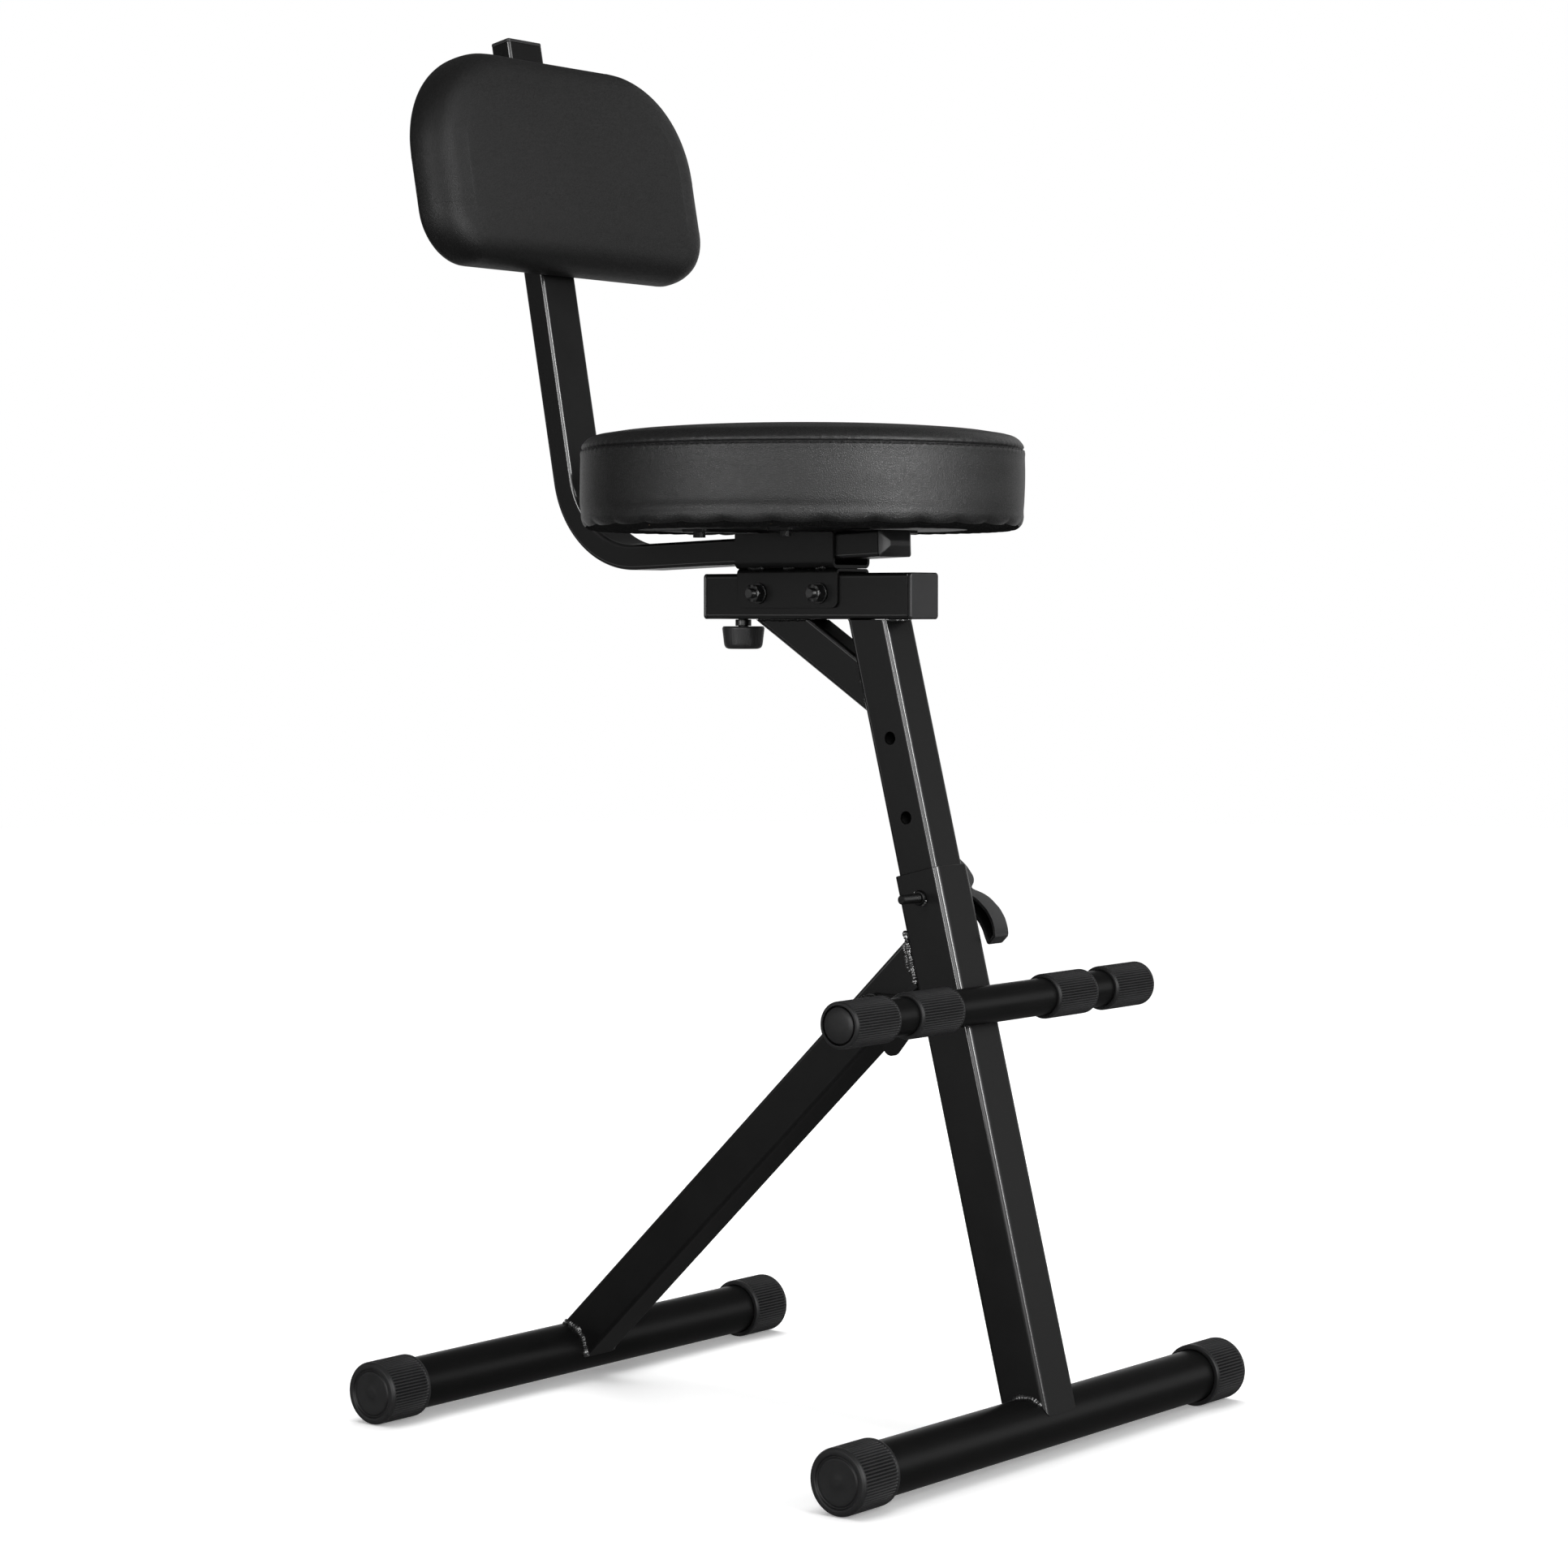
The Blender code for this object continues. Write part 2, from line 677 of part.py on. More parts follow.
def add_post(seat_post):
    """Inner post with its row of holes, and the guide plug at its foot."""
    low = bolt_place - holes_below_bolt * hole_pitch - post_below_holes
    ceiling = on_plane(leg_place, (0, 0, beam_underside - weld_gap), (0, 0, 1))
    shape = box_tube(post_width, post_width, post_wall, post_corner, level(low), ceiling)
    post = add_piece("inner_post", seat_post, leg_place, shape, powder_coat, True)
    half = post_width / 2 + overrun
    holes = []
    for step in range(-holes_below_bolt, holes_above_bolt + 1):
        spot = along_x(leg_place @ Vector((0, 0, bolt_place + step * hole_pitch)))
        holes.append(moved(rod(hole_diameter, -half, half), along_x(bolt_point).inverted() @ spot))
    add_boolean(post, along_x(bolt_point), join_shapes(holes))
    flange = post_width + slide_gap
    shape = plug_shape(flange, flange, post_width - 2 * post_wall, post_width - 2 * post_wall)
    place = leg_place @ Matrix.Translation((0, 0, low)) @ Matrix.Rotation(math.pi, 4, "X")
    add_piece("post_guide_plug", seat_post, place, shape, nylon)


def plug_shape(width, depth, hole_width, hole_depth, peaked=False):
    """End plug with its flange on +Z and its insert on -Z, for a box tube that ends at Z = 0."""
    corner = post_corner / 2
    insert = box_section(hole_width - 2 * weld_gap, hole_depth - 2 * weld_gap, corner, 2)
    flange = box_section(width, depth, corner, 2)
    layers = [(insert, -plug_insert), (insert, weld_gap), (flange, weld_gap)]
    if peaked:
        top = box_section(width - 2 * end_cap_inset, depth - 2 * end_cap_inset, corner, 2)
        layers.append((flange, weld_gap + end_cap_edge))
        layers.append((top, weld_gap + end_cap_edge + end_cap_rise))
    else:
        layers.append((flange, weld_gap + plug_flange))
    return stack(layers)


def add_beam(seat_post):
    """Beam under the seat with its plugs, and the brace from it to the post."""
    front = seat_middle - beam_front_reach
    rear = seat_middle + beam_rear_reach
    middle = beam_underside + beam_width / 2
    place = turn_about_x((0, front, middle), -math.pi / 2)
    shape = box_tube(beam_width, beam_width, beam_wall, beam_corner, level(0), level(rear - front))
    beam = add_piece("seat_beam", seat_post, place, shape, powder_coat, True)
    half = beam_width / 2 + overrun
    for spot in saddle_bolt_spots():
        add_boolean(beam, along_x(spot), rod(bolt_bore, -half, half))
    stud_hole = rod(bolt_bore, -half, half)
    add_boolean(beam, Matrix.Translation((0, knob_back, middle)), stud_hole)
    bore = beam_width - 2 * beam_wall
    for end, spot, angle in (("front", front, math.pi / 2), ("rear", rear, -math.pi / 2)):
        shape = plug_shape(beam_width, beam_width, bore, bore)
        stand = turn_about_x((0, spot, middle), angle)
        add_piece("beam_" + end + "_plug", seat_post, stand, shape, nylon)
    place = turn_about_x((0, seat_middle + brace_meet, beam_underside), math.pi / 2 + brace_slope)
    top = on_plane(place, (0, 0, beam_underside - weld_gap), (0, 0, 1))
    normal = leg_place.to_3x3() @ Vector((0, 1, 0))
    foot = on_plane(place, leg_place @ Vector((0, post_width / 2 + weld_gap, 0)), normal)
    shape = box_tube(brace_width, brace_depth, brace_wall, brace_corner, top, foot)
    add_piece("gusset_brace", seat_post, place, shape, powder_coat, True)


def saddle_bolt_spots():
    """Middles of the two bolts through saddle and beam."""
    height = saddle_top - saddle_web - weld_gap - saddle_bolt_drop
    middle = seat_middle + saddle_bolt_middle
    return [(0, middle + sign * saddle_bolt_spacing / 2, height) for sign in (1, -1)]


def channel_shape(width, height, sheet, web, bend, length):
    """U channel open on +Z with its web's underside at Z = 0, centred on X and Y."""
    half = width / 2
    inner = half - sheet
    inner_bend = max(bend - sheet, sheet / 4)
    outline = [(half, height)]
    outline += arc((half - bend, bend), bend, 0, -math.pi / 2, 4)
    outline += arc((bend - half, bend), bend, -math.pi / 2, -math.pi, 4)
    outline += [(-half, height), (-inner, height)]
    outline += arc((inner_bend - inner, web + inner_bend), inner_bend, math.pi, math.pi * 3 / 2, 3)
    outline += arc((inner - inner_bend, web + inner_bend), inner_bend, math.pi * 3 / 2, math.pi * 2, 3)
    outline += [(inner, height)]
    shape = plate_from(outline, length)
    stand = Matrix(((1, 0, 0, 0), (0, 0, 1, -length / 2), (0, 1, 0, 0), (0, 0, 0, 1)))
    return moved(shape, stand)


def round_cheeks(shape, height, radius):
    """Round the free corners of a channel's cheeks."""
    shape.edges.ensure_lookup_table()
    corners = []
    for edge in shape.edges:
        one, two = edge.verts
        at_rim = abs(one.co.z - height) < merge_distance and abs(two.co.z - height) < merge_distance
        if at_rim and abs(one.co.y - two.co.y) < merge_distance:
            corners.append(edge)
    bmesh.ops.bevel(shape, geom=corners, offset=radius, segments=4, profile=0.5, affect="EDGES")


def add_saddle_and_cradle(seat_post):
    """Saddle bolted over the beam, and the cradle on it that guides the backrest tube."""
    shape = channel_shape(
        saddle_width, saddle_drop, saddle_sheet, saddle_web, saddle_bend, saddle_length
    )
    round_cheeks(shape, saddle_drop, saddle_corner)
    place = Matrix.Translation((0, seat_middle, saddle_top)) @ Matrix.Rotation(math.pi, 4, "X")
    saddle = add_piece("saddle_bracket", seat_post, place, shape, powder_coat)
    half = saddle_width / 2 + overrun
    for end, spot in zip(("rear", "front"), saddle_bolt_spots()):
        add_boolean(saddle, along_x(spot), rod(bolt_bore, -half, half))
        add_through_bolt("saddle_" + end, seat_post, spot, saddle_width / 2)
    height = bar_base - weld_gap - cradle_base
    shape = channel_shape(cradle_width, height, cradle_sheet, cradle_floor, cradle_bend, cradle_length)
    place = Matrix.Translation((0, seat_middle + cradle_middle, cradle_base))
    add_piece("cradle_bracket", seat_post, place, shape, powder_coat)


def screw_shape(length):
    """Pan head screw: the underside of its head is just below Z = 0, its shank runs up."""
    head = screw_head_diameter / 2
    outline = [
        (0, -weld_gap - screw_head_height), (head, -weld_gap - screw_head_height), (head, -weld_gap),
        (screw_diameter / 2, -weld_gap), (screw_diameter / 2, length), (0, length),
    ]
    return turned(outline, bolt_sides)


def add_seat(seat_post):
    """Two bars across the cradle, the board screwed on them, and the cushion over the board."""
    board_place = Matrix.Translation((0, seat_middle, board_base))
    disc = rod(board_diameter, 0, board_thickness, 2 * pleat_count)
    board = add_piece("seat_board", seat_post, board_place, disc, plywood, True)
    depth = screw_length + weld_gap
    outline = box_section(seat_bar_length, seat_bar_width, seat_bar_thickness, 2)
    for end, back in (("front", seat_middle - front_bar_middle), ("rear", seat_middle + rear_bar_middle)):
        place = Matrix.Translation((0, back, bar_base))
        shape = plate_from(outline, seat_bar_thickness)
        bar = add_piece(end + "_seat_bar", seat_post, place, shape, powder_coat)
        for side, sign in (("left", 1), ("right", -1)):
            spot = place @ Matrix.Translation((sign * screw_spacing / 2, 0, 0))
            add_boolean(bar, spot, rod(screw_bore, -overrun, depth))
            add_boolean(board, spot, rod(screw_bore, -overrun, depth))
            name = "seat_screw_" + end + "_" + side
            add_piece(name, seat_post, spot, screw_shape(screw_length), black_zinc, True)
    cushion = add_piece("seat_cushion", seat_post, board_place, cushion_shape(), leatherette, True)
    cushion.data.set_sharp_from_angle(angle=math.radians(60))


def cushion_shape():
    """Round cushion over the board: gathered hem, bulging band, drawn-in seam, low crown."""
    radius = cushion_diameter / 2
    recess = board_diameter / 2 + weld_gap
    sides = 2 * pleat_count
    rings = [round_ring(recess, board_thickness + weld_gap, sides), round_ring(recess, 0, sides)]
    for inward, up, gather in cushion_hem_shares:
        reach = radius - cushion_hem * inward
        rings.append(round_ring(reach, cushion_hem * up, sides, pleat_depth * gather))
    rings.append(round_ring(radius + cushion_bulge, cushion_band * cushion_bulge_share, sides))
    for inward, up in ((0, -seam_half_width), (seam_groove, 0), (0, seam_half_width)):
        rings.append(round_ring(radius - inward, cushion_band + up, sides))
    for inward, up in cushion_shoulder_shares:
        height = cushion_band + cushion_seam_drop * up
        rings.append(round_ring(radius - cushion_seam_drop * inward, height, sides))
    for share in cushion_crown_shares:
        lift = (cushion_crown - cushion_seam_drop) * (1 - share * share)
        rings.append(round_ring(radius * share, cushion_band + cushion_seam_drop + lift, sides))
    shape = bmesh.new()
    loft(shape, rings)
    return shape


def round_ring(radius, height, sides, ripple=0):
    """Ring of points about Z whose radius rises and falls from one point to the next."""
    points = []
    for step in range(sides):
        angle = 2 * math.pi * (step + 0.5) / sides
        reach = radius + (ripple if step % 2 else -ripple)
        points.append(Vector((reach * math.cos(angle), reach * math.sin(angle), height)))
    return points


def knob_outline():
    """Half outline of a knob head whose flat top is at Z = 0 and whose blind bore opens there."""
    radius = knob_diameter / 2
    bore = bolt_diameter / 2 + thread_gap
    return [
        (0, -knob_grip_depth), (bore, -knob_grip_depth), (bore, 0), (radius - knob_taper / 2, 0),
        (radius, -knob_taper), (radius - knob_taper, knob_edge - knob_height),
        (radius - knob_taper - knob_edge / 3, knob_edge / 3 - knob_height),
        (radius - knob_taper - knob_edge, -knob_height), (0, -knob_height),
    ]


def add_clamp(name, body, nut_body, place, gap_to_nut, reach):
    """Knob, stud and weld nut; place has +Z towards the clamped tube and Z = 0 on the carrier."""
    nut = ring_shape(knob_nut_diameter, bolt_bore, -weld_gap - knob_nut_height, -weld_gap)
    add_piece(name + "_weld_nut", nut_body, place, nut, black_zinc, True)
    top = -weld_gap - knob_nut_height - gap_to_nut
    head = place @ Matrix.Translation((0, 0, top))
    add_piece(name + "_knob", body, head, turned(knob_outline(), knob_sides), nylon, True)
    stud = rod(bolt_diameter, top - knob_grip_depth + weld_gap, reach, bolt_sides)
    add_piece(name + "_stud", body, place, stud, black_zinc, True)


def bend_frames():
    """Places along the backrest tube, from the run's front end to the top of the upright."""
    turn = math.pi / 2 + run_slope - upright_lean
    tangent = bend_radius * math.tan(turn / 2)
    frames = [run_place @ Matrix.Translation((0, 0, -run_length))]
    bend_start = run_place @ Matrix.Translation((0, 0, -tangent))
    pivot = bend_start @ Matrix.Translation((0, -bend_radius, 0))
    for step in range(bend_steps + 1):
        swing = Matrix.Rotation(turn * step / bend_steps, 4, "X")
        frames.append(pivot @ swing @ Matrix.Translation((0, bend_radius, 0)))
    frames.append(upright_place @ Matrix.Translation((0, 0, upright_length)))
    return frames


def add_backrest_tube(backrest):
    """Bent flat tube with a chamfered plug in front and a flush one on top."""
    inner_radius = max(tube_corner - tube_wall, tube_wall / 2)
    inner_width = tube_width - 2 * tube_wall
    inner_depth = tube_depth - 2 * tube_wall
    outer = box_section(tube_width, tube_depth, tube_corner)
    inner = box_section(inner_width, inner_depth, inner_radius)
    back = run_place.inverted()
    frames = [back @ frame for frame in bend_frames()]
    rings = [[frame @ Vector((x, y, 0)) for x, y in outer] for frame in frames]
    rings += [[frame @ Vector((x, y, 0)) for x, y in inner] for frame in reversed(frames)]
    shape = bmesh.new()
    loft(shape, rings, closed=True)
    add_piece("backrest_tube", backrest, run_place, shape, powder_coat, True)
    front = run_place @ Matrix.Translation((0, 0, -run_length)) @ Matrix.Rotation(math.pi, 4, "X")
    shape = plug_shape(tube_width, tube_depth, inner_width, inner_depth, peaked=True)
    add_piece("tube_front_plug", backrest, front, shape, nylon)
    top = upright_place @ Matrix.Translation((0, 0, upright_length))
    shape = plug_shape(tube_width, tube_depth, inner_width, inner_depth)
    add_piece("tube_top_plug", backrest, top, shape, nylon)


def pad_outline(inset):
    """Points (x, z) round the pad, in by inset: large round corners above, small ones below."""
    points = []
    corners = (
        (1, 1, 0, pad_top_radius, 8), (-1, 1, 1, pad_top_radius, 8),
        (-1, -1, 2, pad_bottom_radius, 5), (1, -1, 3, pad_bottom_radius, 5),
    )
    for right, up, quarter, corner, steps in corners:
        radius = max(corner - inset, pad_hem)
        middle = (
            right * (pad_width / 2 - inset - radius),
            pad_middle + up * (pad_height / 2 - inset - radius),
        )
        start = quarter * math.pi / 2
        points += arc(middle, radius, start, start + math.pi / 2, steps)
    return points


def pad_ring(inset, ahead):
    """Ring of the pad's outline, ahead of the upright's centre line."""
    return [Vector((x, -ahead, z)) for x, z in pad_outline(inset)]


def add_pad(pad):
    """Pad, its board, and the bracket that slides on the upright and clamps with a knob."""
    board_back = tube_depth / 2 + slide_gap
    board_front = board_back + pad_board_thickness
    band_end = board_back + pad_band
    bulge = pad_thickness - pad_band
    shape = bmesh.new()
    loft(shape, [pad_ring(pad_board_margin, board_back), pad_ring(pad_board_margin, board_front)])
    board = add_piece("backrest_board", pad, upright_place, shape, plywood)
    recess = pad_board_margin - weld_gap
    rings = [pad_ring(recess, board_front + weld_gap), pad_ring(recess, board_back)]
    for inset, ahead in pad_hem_shares:
        rings.append(pad_ring(pad_hem * inset, board_back + pad_hem * ahead))
    rings.append(pad_ring(0, (board_back + band_end) / 2))
    for share in pad_round_shares:
        angle = share * math.pi / 2
        rise = bulge * pad_round_rise_share * math.sin(angle)
        rings.append(pad_ring(bulge * (1 - math.cos(angle)), band_end + rise))
    for inset, ahead in pad_face_shares:
        rings.append(pad_ring(bulge * inset, band_end + bulge * ahead))
    shape = bmesh.new()
    loft(shape, rings)
    cushion = add_piece("backrest_pad", pad, upright_place, shape, leatherette, True)
    cushion.data.set_sharp_from_angle(angle=math.radians(60))
    add_pad_bracket(pad, board, board_back)


def add_pad_bracket(pad, board, board_back):
    """Hat-shaped sheet bracket round the upright with flanges screwed to the board."""
    inner = tube_width / 2 + slide_gap
    outer = inner + bracket_sheet
    rear_in = tube_depth / 2 + slide_gap
    rear_out = bracket_back
    front = weld_gap - board_back
    outline = [
        (inner, front), (outer + bracket_flange, front), (outer + bracket_flange, front + bracket_sheet),
        (outer, front + bracket_sheet), (outer, rear_out), (-outer, rear_out),
        (-outer, front + bracket_sheet), (-outer - bracket_flange, front + bracket_sheet),
        (-outer - bracket_flange, front), (-inner, front), (-inner, rear_in), (inner, rear_in),
    ]
    low = upright_place @ Matrix.Translation((0, 0, pad_middle - bracket_length / 2))
    bracket = add_piece("pad_bracket", pad, low, plate_from(outline, bracket_length), powder_coat)
    add_boolean(bracket, pad_clamp_place, rod(bolt_bore, -overrun, bracket_sheet + overrun))
    first = upright_place @ Matrix.Translation((0, front + bracket_sheet, pad_middle))
    flat = first @ Matrix.Rotation(math.pi / 2, 4, "X")
    depth = pad_screw_length + weld_gap
    for side, sign in (("left", 1), ("right", -1)):
        spot = flat @ Matrix.Translation((sign * (outer + bracket_flange / 2), 0, 0))
        add_boolean(bracket, spot, rod(screw_bore, -overrun, depth, bolt_sides))
        add_boolean(board, spot, rod(screw_bore, -overrun, depth, bolt_sides))
        shape = screw_shape(pad_screw_length)
        add_piece("pad_screw_" + side, pad, spot, shape, black_zinc, True)


def rear_edge():
    """Rearmost point of the object: the knob behind the pad or the upright's top."""
    knob_out = bracket_back + 2 * weld_gap + knob_nut_height + knob_height
    end_radius = (knob_diameter / 2 - knob_taper - knob_edge) * math.cos(math.pi / knob_sides)
    knob = upright_place @ Vector((0, knob_out, pad_middle + end_radius))
    top = upright_place @ Vector((0, tube_depth / 2, upright_length + plug_flange + weld_gap))
    foot = foot_spacing + foot_cap_diameter / 2
    return max(knob.y, top.y, foot)


def report(name, body_shift, point, direction=None):
    """Print a place and a direction in the object's own frame, in metres."""
    spot = body_shift @ Vector(point)
    words = [round(value, 6) for value in spot]
    if direction:
        words.append([round(value, 6) for value in direction])
    print(name, words)


def main():
    """Build the stool."""
    clear_scene()
    shift = Matrix.Translation((0, -(rear_edge() - foot_cap_diameter / 2) / 2, 0))
    stool = add_empty("stool", None, shift)
    height_bolt = add_empty("height_bolt_axis", stool, along_x(bolt_point))
    seat_post = add_empty("seat_post_slide", stool, leg_place @ Matrix.Translation((0, 0, bolt_place)))
    backrest = add_empty("backrest_slide", seat_post, run_place)
    clamp_base = Matrix.Translation((0, knob_back, beam_underside))
    depth_clamp = add_empty("depth_knob_axis", seat_post, clamp_base)
    pad_base = upright_place @ Matrix.Translation((0, 0, pad_middle))
    pad = add_empty("pad_slide", backrest, pad_base)
    add_feet(stool)
    add_legs(stool)
    add_footrest(stool)
    add_height_parts(stool, height_bolt)
    add_post(seat_post)
    add_beam(seat_post)
    add_saddle_and_cradle(seat_post)
    add_seat(seat_post)
    reach = run_height(knob_back) - tube_half_rise - weld_gap * 2 - beam_underside
    add_clamp("depth", depth_clamp, seat_post, clamp_base, weld_gap, reach)
    add_backrest_tube(backrest)
    add_pad(pad)
    pad_clamp = add_empty("pad_knob_axis", pad, pad_clamp_place)
    stud_end = bracket_back - tube_depth / 2 - weld_gap
    add_clamp("pad", pad_clamp, pad, pad_clamp_place, weld_gap, stud_end)
    leg_way = leg_place.to_3x3() @ Vector((0, 0, 1))
    run_way = run_place.to_3x3() @ Vector((0, 0, 1))
    upright_way = upright_place.to_3x3() @ Vector((0, 0, 1))
    clamp_way = pad_clamp_place.to_3x3() @ Vector((0, 0, 1))
    report("height bolt", shift, bolt_point, leg_way)
    report("backrest run", shift, corner_point, run_way)
    report("depth knob", shift, (0, knob_back, beam_underside))
    report("pad", shift, pad_base.translation, upright_way)
    report("pad knob", shift, clamp_point, clamp_way)
    report("front cap rest", shift, (front_foot_span / 2 - foot_cap_length / 2, 0, 0))


main()
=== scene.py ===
# %% [markdown]
# # A black guitar stool
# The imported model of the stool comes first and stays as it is: it says where every part is and what it
# moves with. The cells below dress it. Each tube, cap, cushion, bolt and weld gets a surface that is worked
# out with numpy, and each finish is a small network of nodes. Lengths are in metres. X points to the
# sitter's left, Y to the back and Z up.

# %% Load the model
import json
import math
import bpy
import numpy as np
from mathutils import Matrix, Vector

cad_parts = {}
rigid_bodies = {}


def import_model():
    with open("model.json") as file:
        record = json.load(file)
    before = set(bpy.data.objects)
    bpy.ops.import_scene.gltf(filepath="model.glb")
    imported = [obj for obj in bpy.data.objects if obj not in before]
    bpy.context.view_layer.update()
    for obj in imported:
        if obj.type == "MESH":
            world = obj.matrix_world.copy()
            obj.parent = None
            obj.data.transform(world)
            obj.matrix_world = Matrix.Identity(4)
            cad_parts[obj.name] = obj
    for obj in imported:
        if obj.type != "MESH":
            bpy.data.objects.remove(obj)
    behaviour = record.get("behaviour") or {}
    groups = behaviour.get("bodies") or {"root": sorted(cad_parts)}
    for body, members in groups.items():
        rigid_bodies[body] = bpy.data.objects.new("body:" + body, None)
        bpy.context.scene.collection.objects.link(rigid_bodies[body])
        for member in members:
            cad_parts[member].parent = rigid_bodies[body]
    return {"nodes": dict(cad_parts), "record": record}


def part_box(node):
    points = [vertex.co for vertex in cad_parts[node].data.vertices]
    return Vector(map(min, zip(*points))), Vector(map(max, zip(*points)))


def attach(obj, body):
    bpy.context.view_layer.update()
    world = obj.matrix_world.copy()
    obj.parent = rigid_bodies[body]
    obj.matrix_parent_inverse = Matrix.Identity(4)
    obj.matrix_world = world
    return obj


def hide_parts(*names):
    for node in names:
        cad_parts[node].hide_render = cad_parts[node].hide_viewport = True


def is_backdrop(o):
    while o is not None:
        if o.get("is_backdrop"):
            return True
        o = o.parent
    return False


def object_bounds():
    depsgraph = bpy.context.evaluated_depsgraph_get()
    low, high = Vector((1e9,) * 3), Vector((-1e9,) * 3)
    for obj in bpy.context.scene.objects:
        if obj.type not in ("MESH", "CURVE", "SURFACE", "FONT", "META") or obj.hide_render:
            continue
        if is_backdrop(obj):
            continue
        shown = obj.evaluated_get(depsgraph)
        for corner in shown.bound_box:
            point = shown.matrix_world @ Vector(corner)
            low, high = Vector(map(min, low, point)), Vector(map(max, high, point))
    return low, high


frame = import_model()
cad_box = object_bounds()

# %% [markdown]
# ## Camera
# The photograph was taken with a long lens a little above half the stool's height, from the front and the
# sitter's right. A long lens keeps the two foot tubes nearly the same size. The place and the focal length
# were found by matching straight edges and the two circles of the seat.

# %% Camera
def add_object(name, data):
    """Object in the scene for some data: the camera, a mesh or a lamp."""
    thing = bpy.data.objects.new(name, data)
    bpy.context.scene.collection.objects.link(thing)
    return thing


camera = add_object("camera", bpy.data.cameras.new("camera"))
bpy.context.scene.camera = camera
bpy.context.scene.view_settings.view_transform = "Standard"
camera_turn = math.radians(51.509)
camera_dip = math.radians(2.673)
camera.location = (-2.2265, -1.784335, 0.61954)
camera.rotation_euler = (math.pi / 2 - camera_dip, 0, -camera_turn)
camera.data.sensor_width = 36
camera.data.lens = 84.69
camera.data.clip_end = 60
print("camera at", [round(value, 3) for value in camera.location])

# %% [markdown]
# ## Shader maths
# A finish is easier to read as a sum than as a drawing of boxes. `Signal` holds one output of a node, and
# adding or multiplying signals adds the Math nodes. `Finish` makes every other kind of node with one
# method: its type, its settings, and the values or signals of its inputs.

# %% Signals and finishes
class Signal:
    """One output of a node. Sums, differences and products with it add Math nodes."""

    def __init__(self, finish, socket):
        self.finish, self.socket = finish, socket

    def math(self, operation, *values):
        return self.finish.node("Math", {"operation": operation}, dict(enumerate(values)))

    def __add__(self, other):
        return self.math("ADD", self, other)

    def __sub__(self, other):
        return self.math("SUBTRACT", self, other)

    def __rsub__(self, other):
        return self.math("SUBTRACT", other, self)

    def __mul__(self, other):
        return self.math("MULTIPLY", self, other)

    __radd__, __rmul__ = __add__, __mul__

    def either(self, other):
        """The larger of two signals, which is 1 where one of two switches is on."""
        return self.math("MAXIMUM", self, other)

    def ramp(self, low, high, first=0.0, last=1.0):
        """Smooth step from first to last while the signal goes from low to high."""
        settings = {"interpolation_type": "SMOOTHSTEP"}
        return self.finish.node("MapRange", settings, {0: self, 1: low, 2: high, 3: first, 4: last})


class Finish:
    """A material, or the world that is passed in, whose nodes are made by one method."""

    def __init__(self, name, world=None):
        self.material = world or bpy.data.materials.new(name)
        self.material.use_nodes = True
        self.tree = self.material.node_tree
        self.shader = self.tree.nodes["Background" if world else "Principled BSDF"]

    def fill(self, node, inputs):
        """Link each input of a node to a signal, or set it to a number or colour."""
        for key, value in inputs.items():
            if isinstance(value, Signal):
                self.tree.links.new(value.socket, node.inputs[key])
            else:
                node.inputs[key].default_value = value

    def node(self, kind, settings, inputs, output=0):
        """Add a node: settings first, then its inputs by name or number. Returns one output."""
        made = self.tree.nodes.new("ShaderNode" + kind)
        for key, value in settings.items():
            setattr(made, key, value)
        self.fill(made, inputs)
        return Signal(self, made.outputs[output])

    def place(self):
        """Where a point of the surface is, in metres."""
        return self.node("TexCoord", {}, {}, "Object")

    def noise(self, size, detail=2.0, where=None):
        """Cloudy pattern from 0 to 1 whose lumps are about size metres across."""
        inputs = {"Vector": where or self.place(), "Scale": 1 / size, "Detail": detail}
        return self.node("TexNoise", {}, inputs)

    def tint(self, share, first, last):
        """Colour that goes from first to last with a signal."""
        inputs = {0: share, 6: (*first, 1), 7: (*last, 1)}
        return self.node("Mix", {"data_type": "RGBA"}, inputs, 2)

    def bump(self, height, depth):
        """Surface that rises by depth metres where the height is 1."""
        return self.node("Bump", {}, {"Height": height, "Distance": depth, "Strength": 1.0})

    def seen(self):
        """1 for what the camera, a reflection or a clear pane shows, 0 for what lights the scene."""
        camera, glossy, through = (self.node("LightPath", {}, {}, kind) for kind in
                                   ("Is Camera Ray", "Is Glossy Ray", "Is Transmission Ray"))
        return camera.either(glossy).either(through)

    def glow(self, strength):
        """White light from the surface itself."""
        return self.node("Emission", {}, {"Color": (1, 1, 1, 1), "Strength": strength})

    def show(self, shader):
        """Make a shader the one that the surface has, and return the material."""
        self.fill(self.tree.nodes["Material Output"], {"Surface": shader})
        return self.material

    def done(self, **inputs):
        """Set the shader's inputs; names are written with underscores."""
        self.fill(self.shader, {key.replace("_", " ").title().replace("Ior", "IOR"): value
                                for key, value in inputs.items()})
        print("finish:", self.material.name, "with", len(self.tree.nodes), "nodes")
        return self.material


# %% [markdown]
# ## Powder coat
# The steel is powder coated: a satin black skin that melted in an oven. It has a fine orange-peel texture
# and its gloss varies a little. The black itself is plain, so the roughness and the small bumps do the
# work. On the round corners of the box tubes the molten powder is drawn tight and shines more. A clear coat
# on the corners alone shows that: they draw bright lines while the flats stay dark. The tubes carry a number
# on their points, called corner, that says where the coat goes. The long welds are under the same skin and
# shine all over, because the powder runs thin on them. Their black is lighter than the steel's, a painted
# highlight for their glints.

# %% Powder coat and welds
corner_shine = 0.85


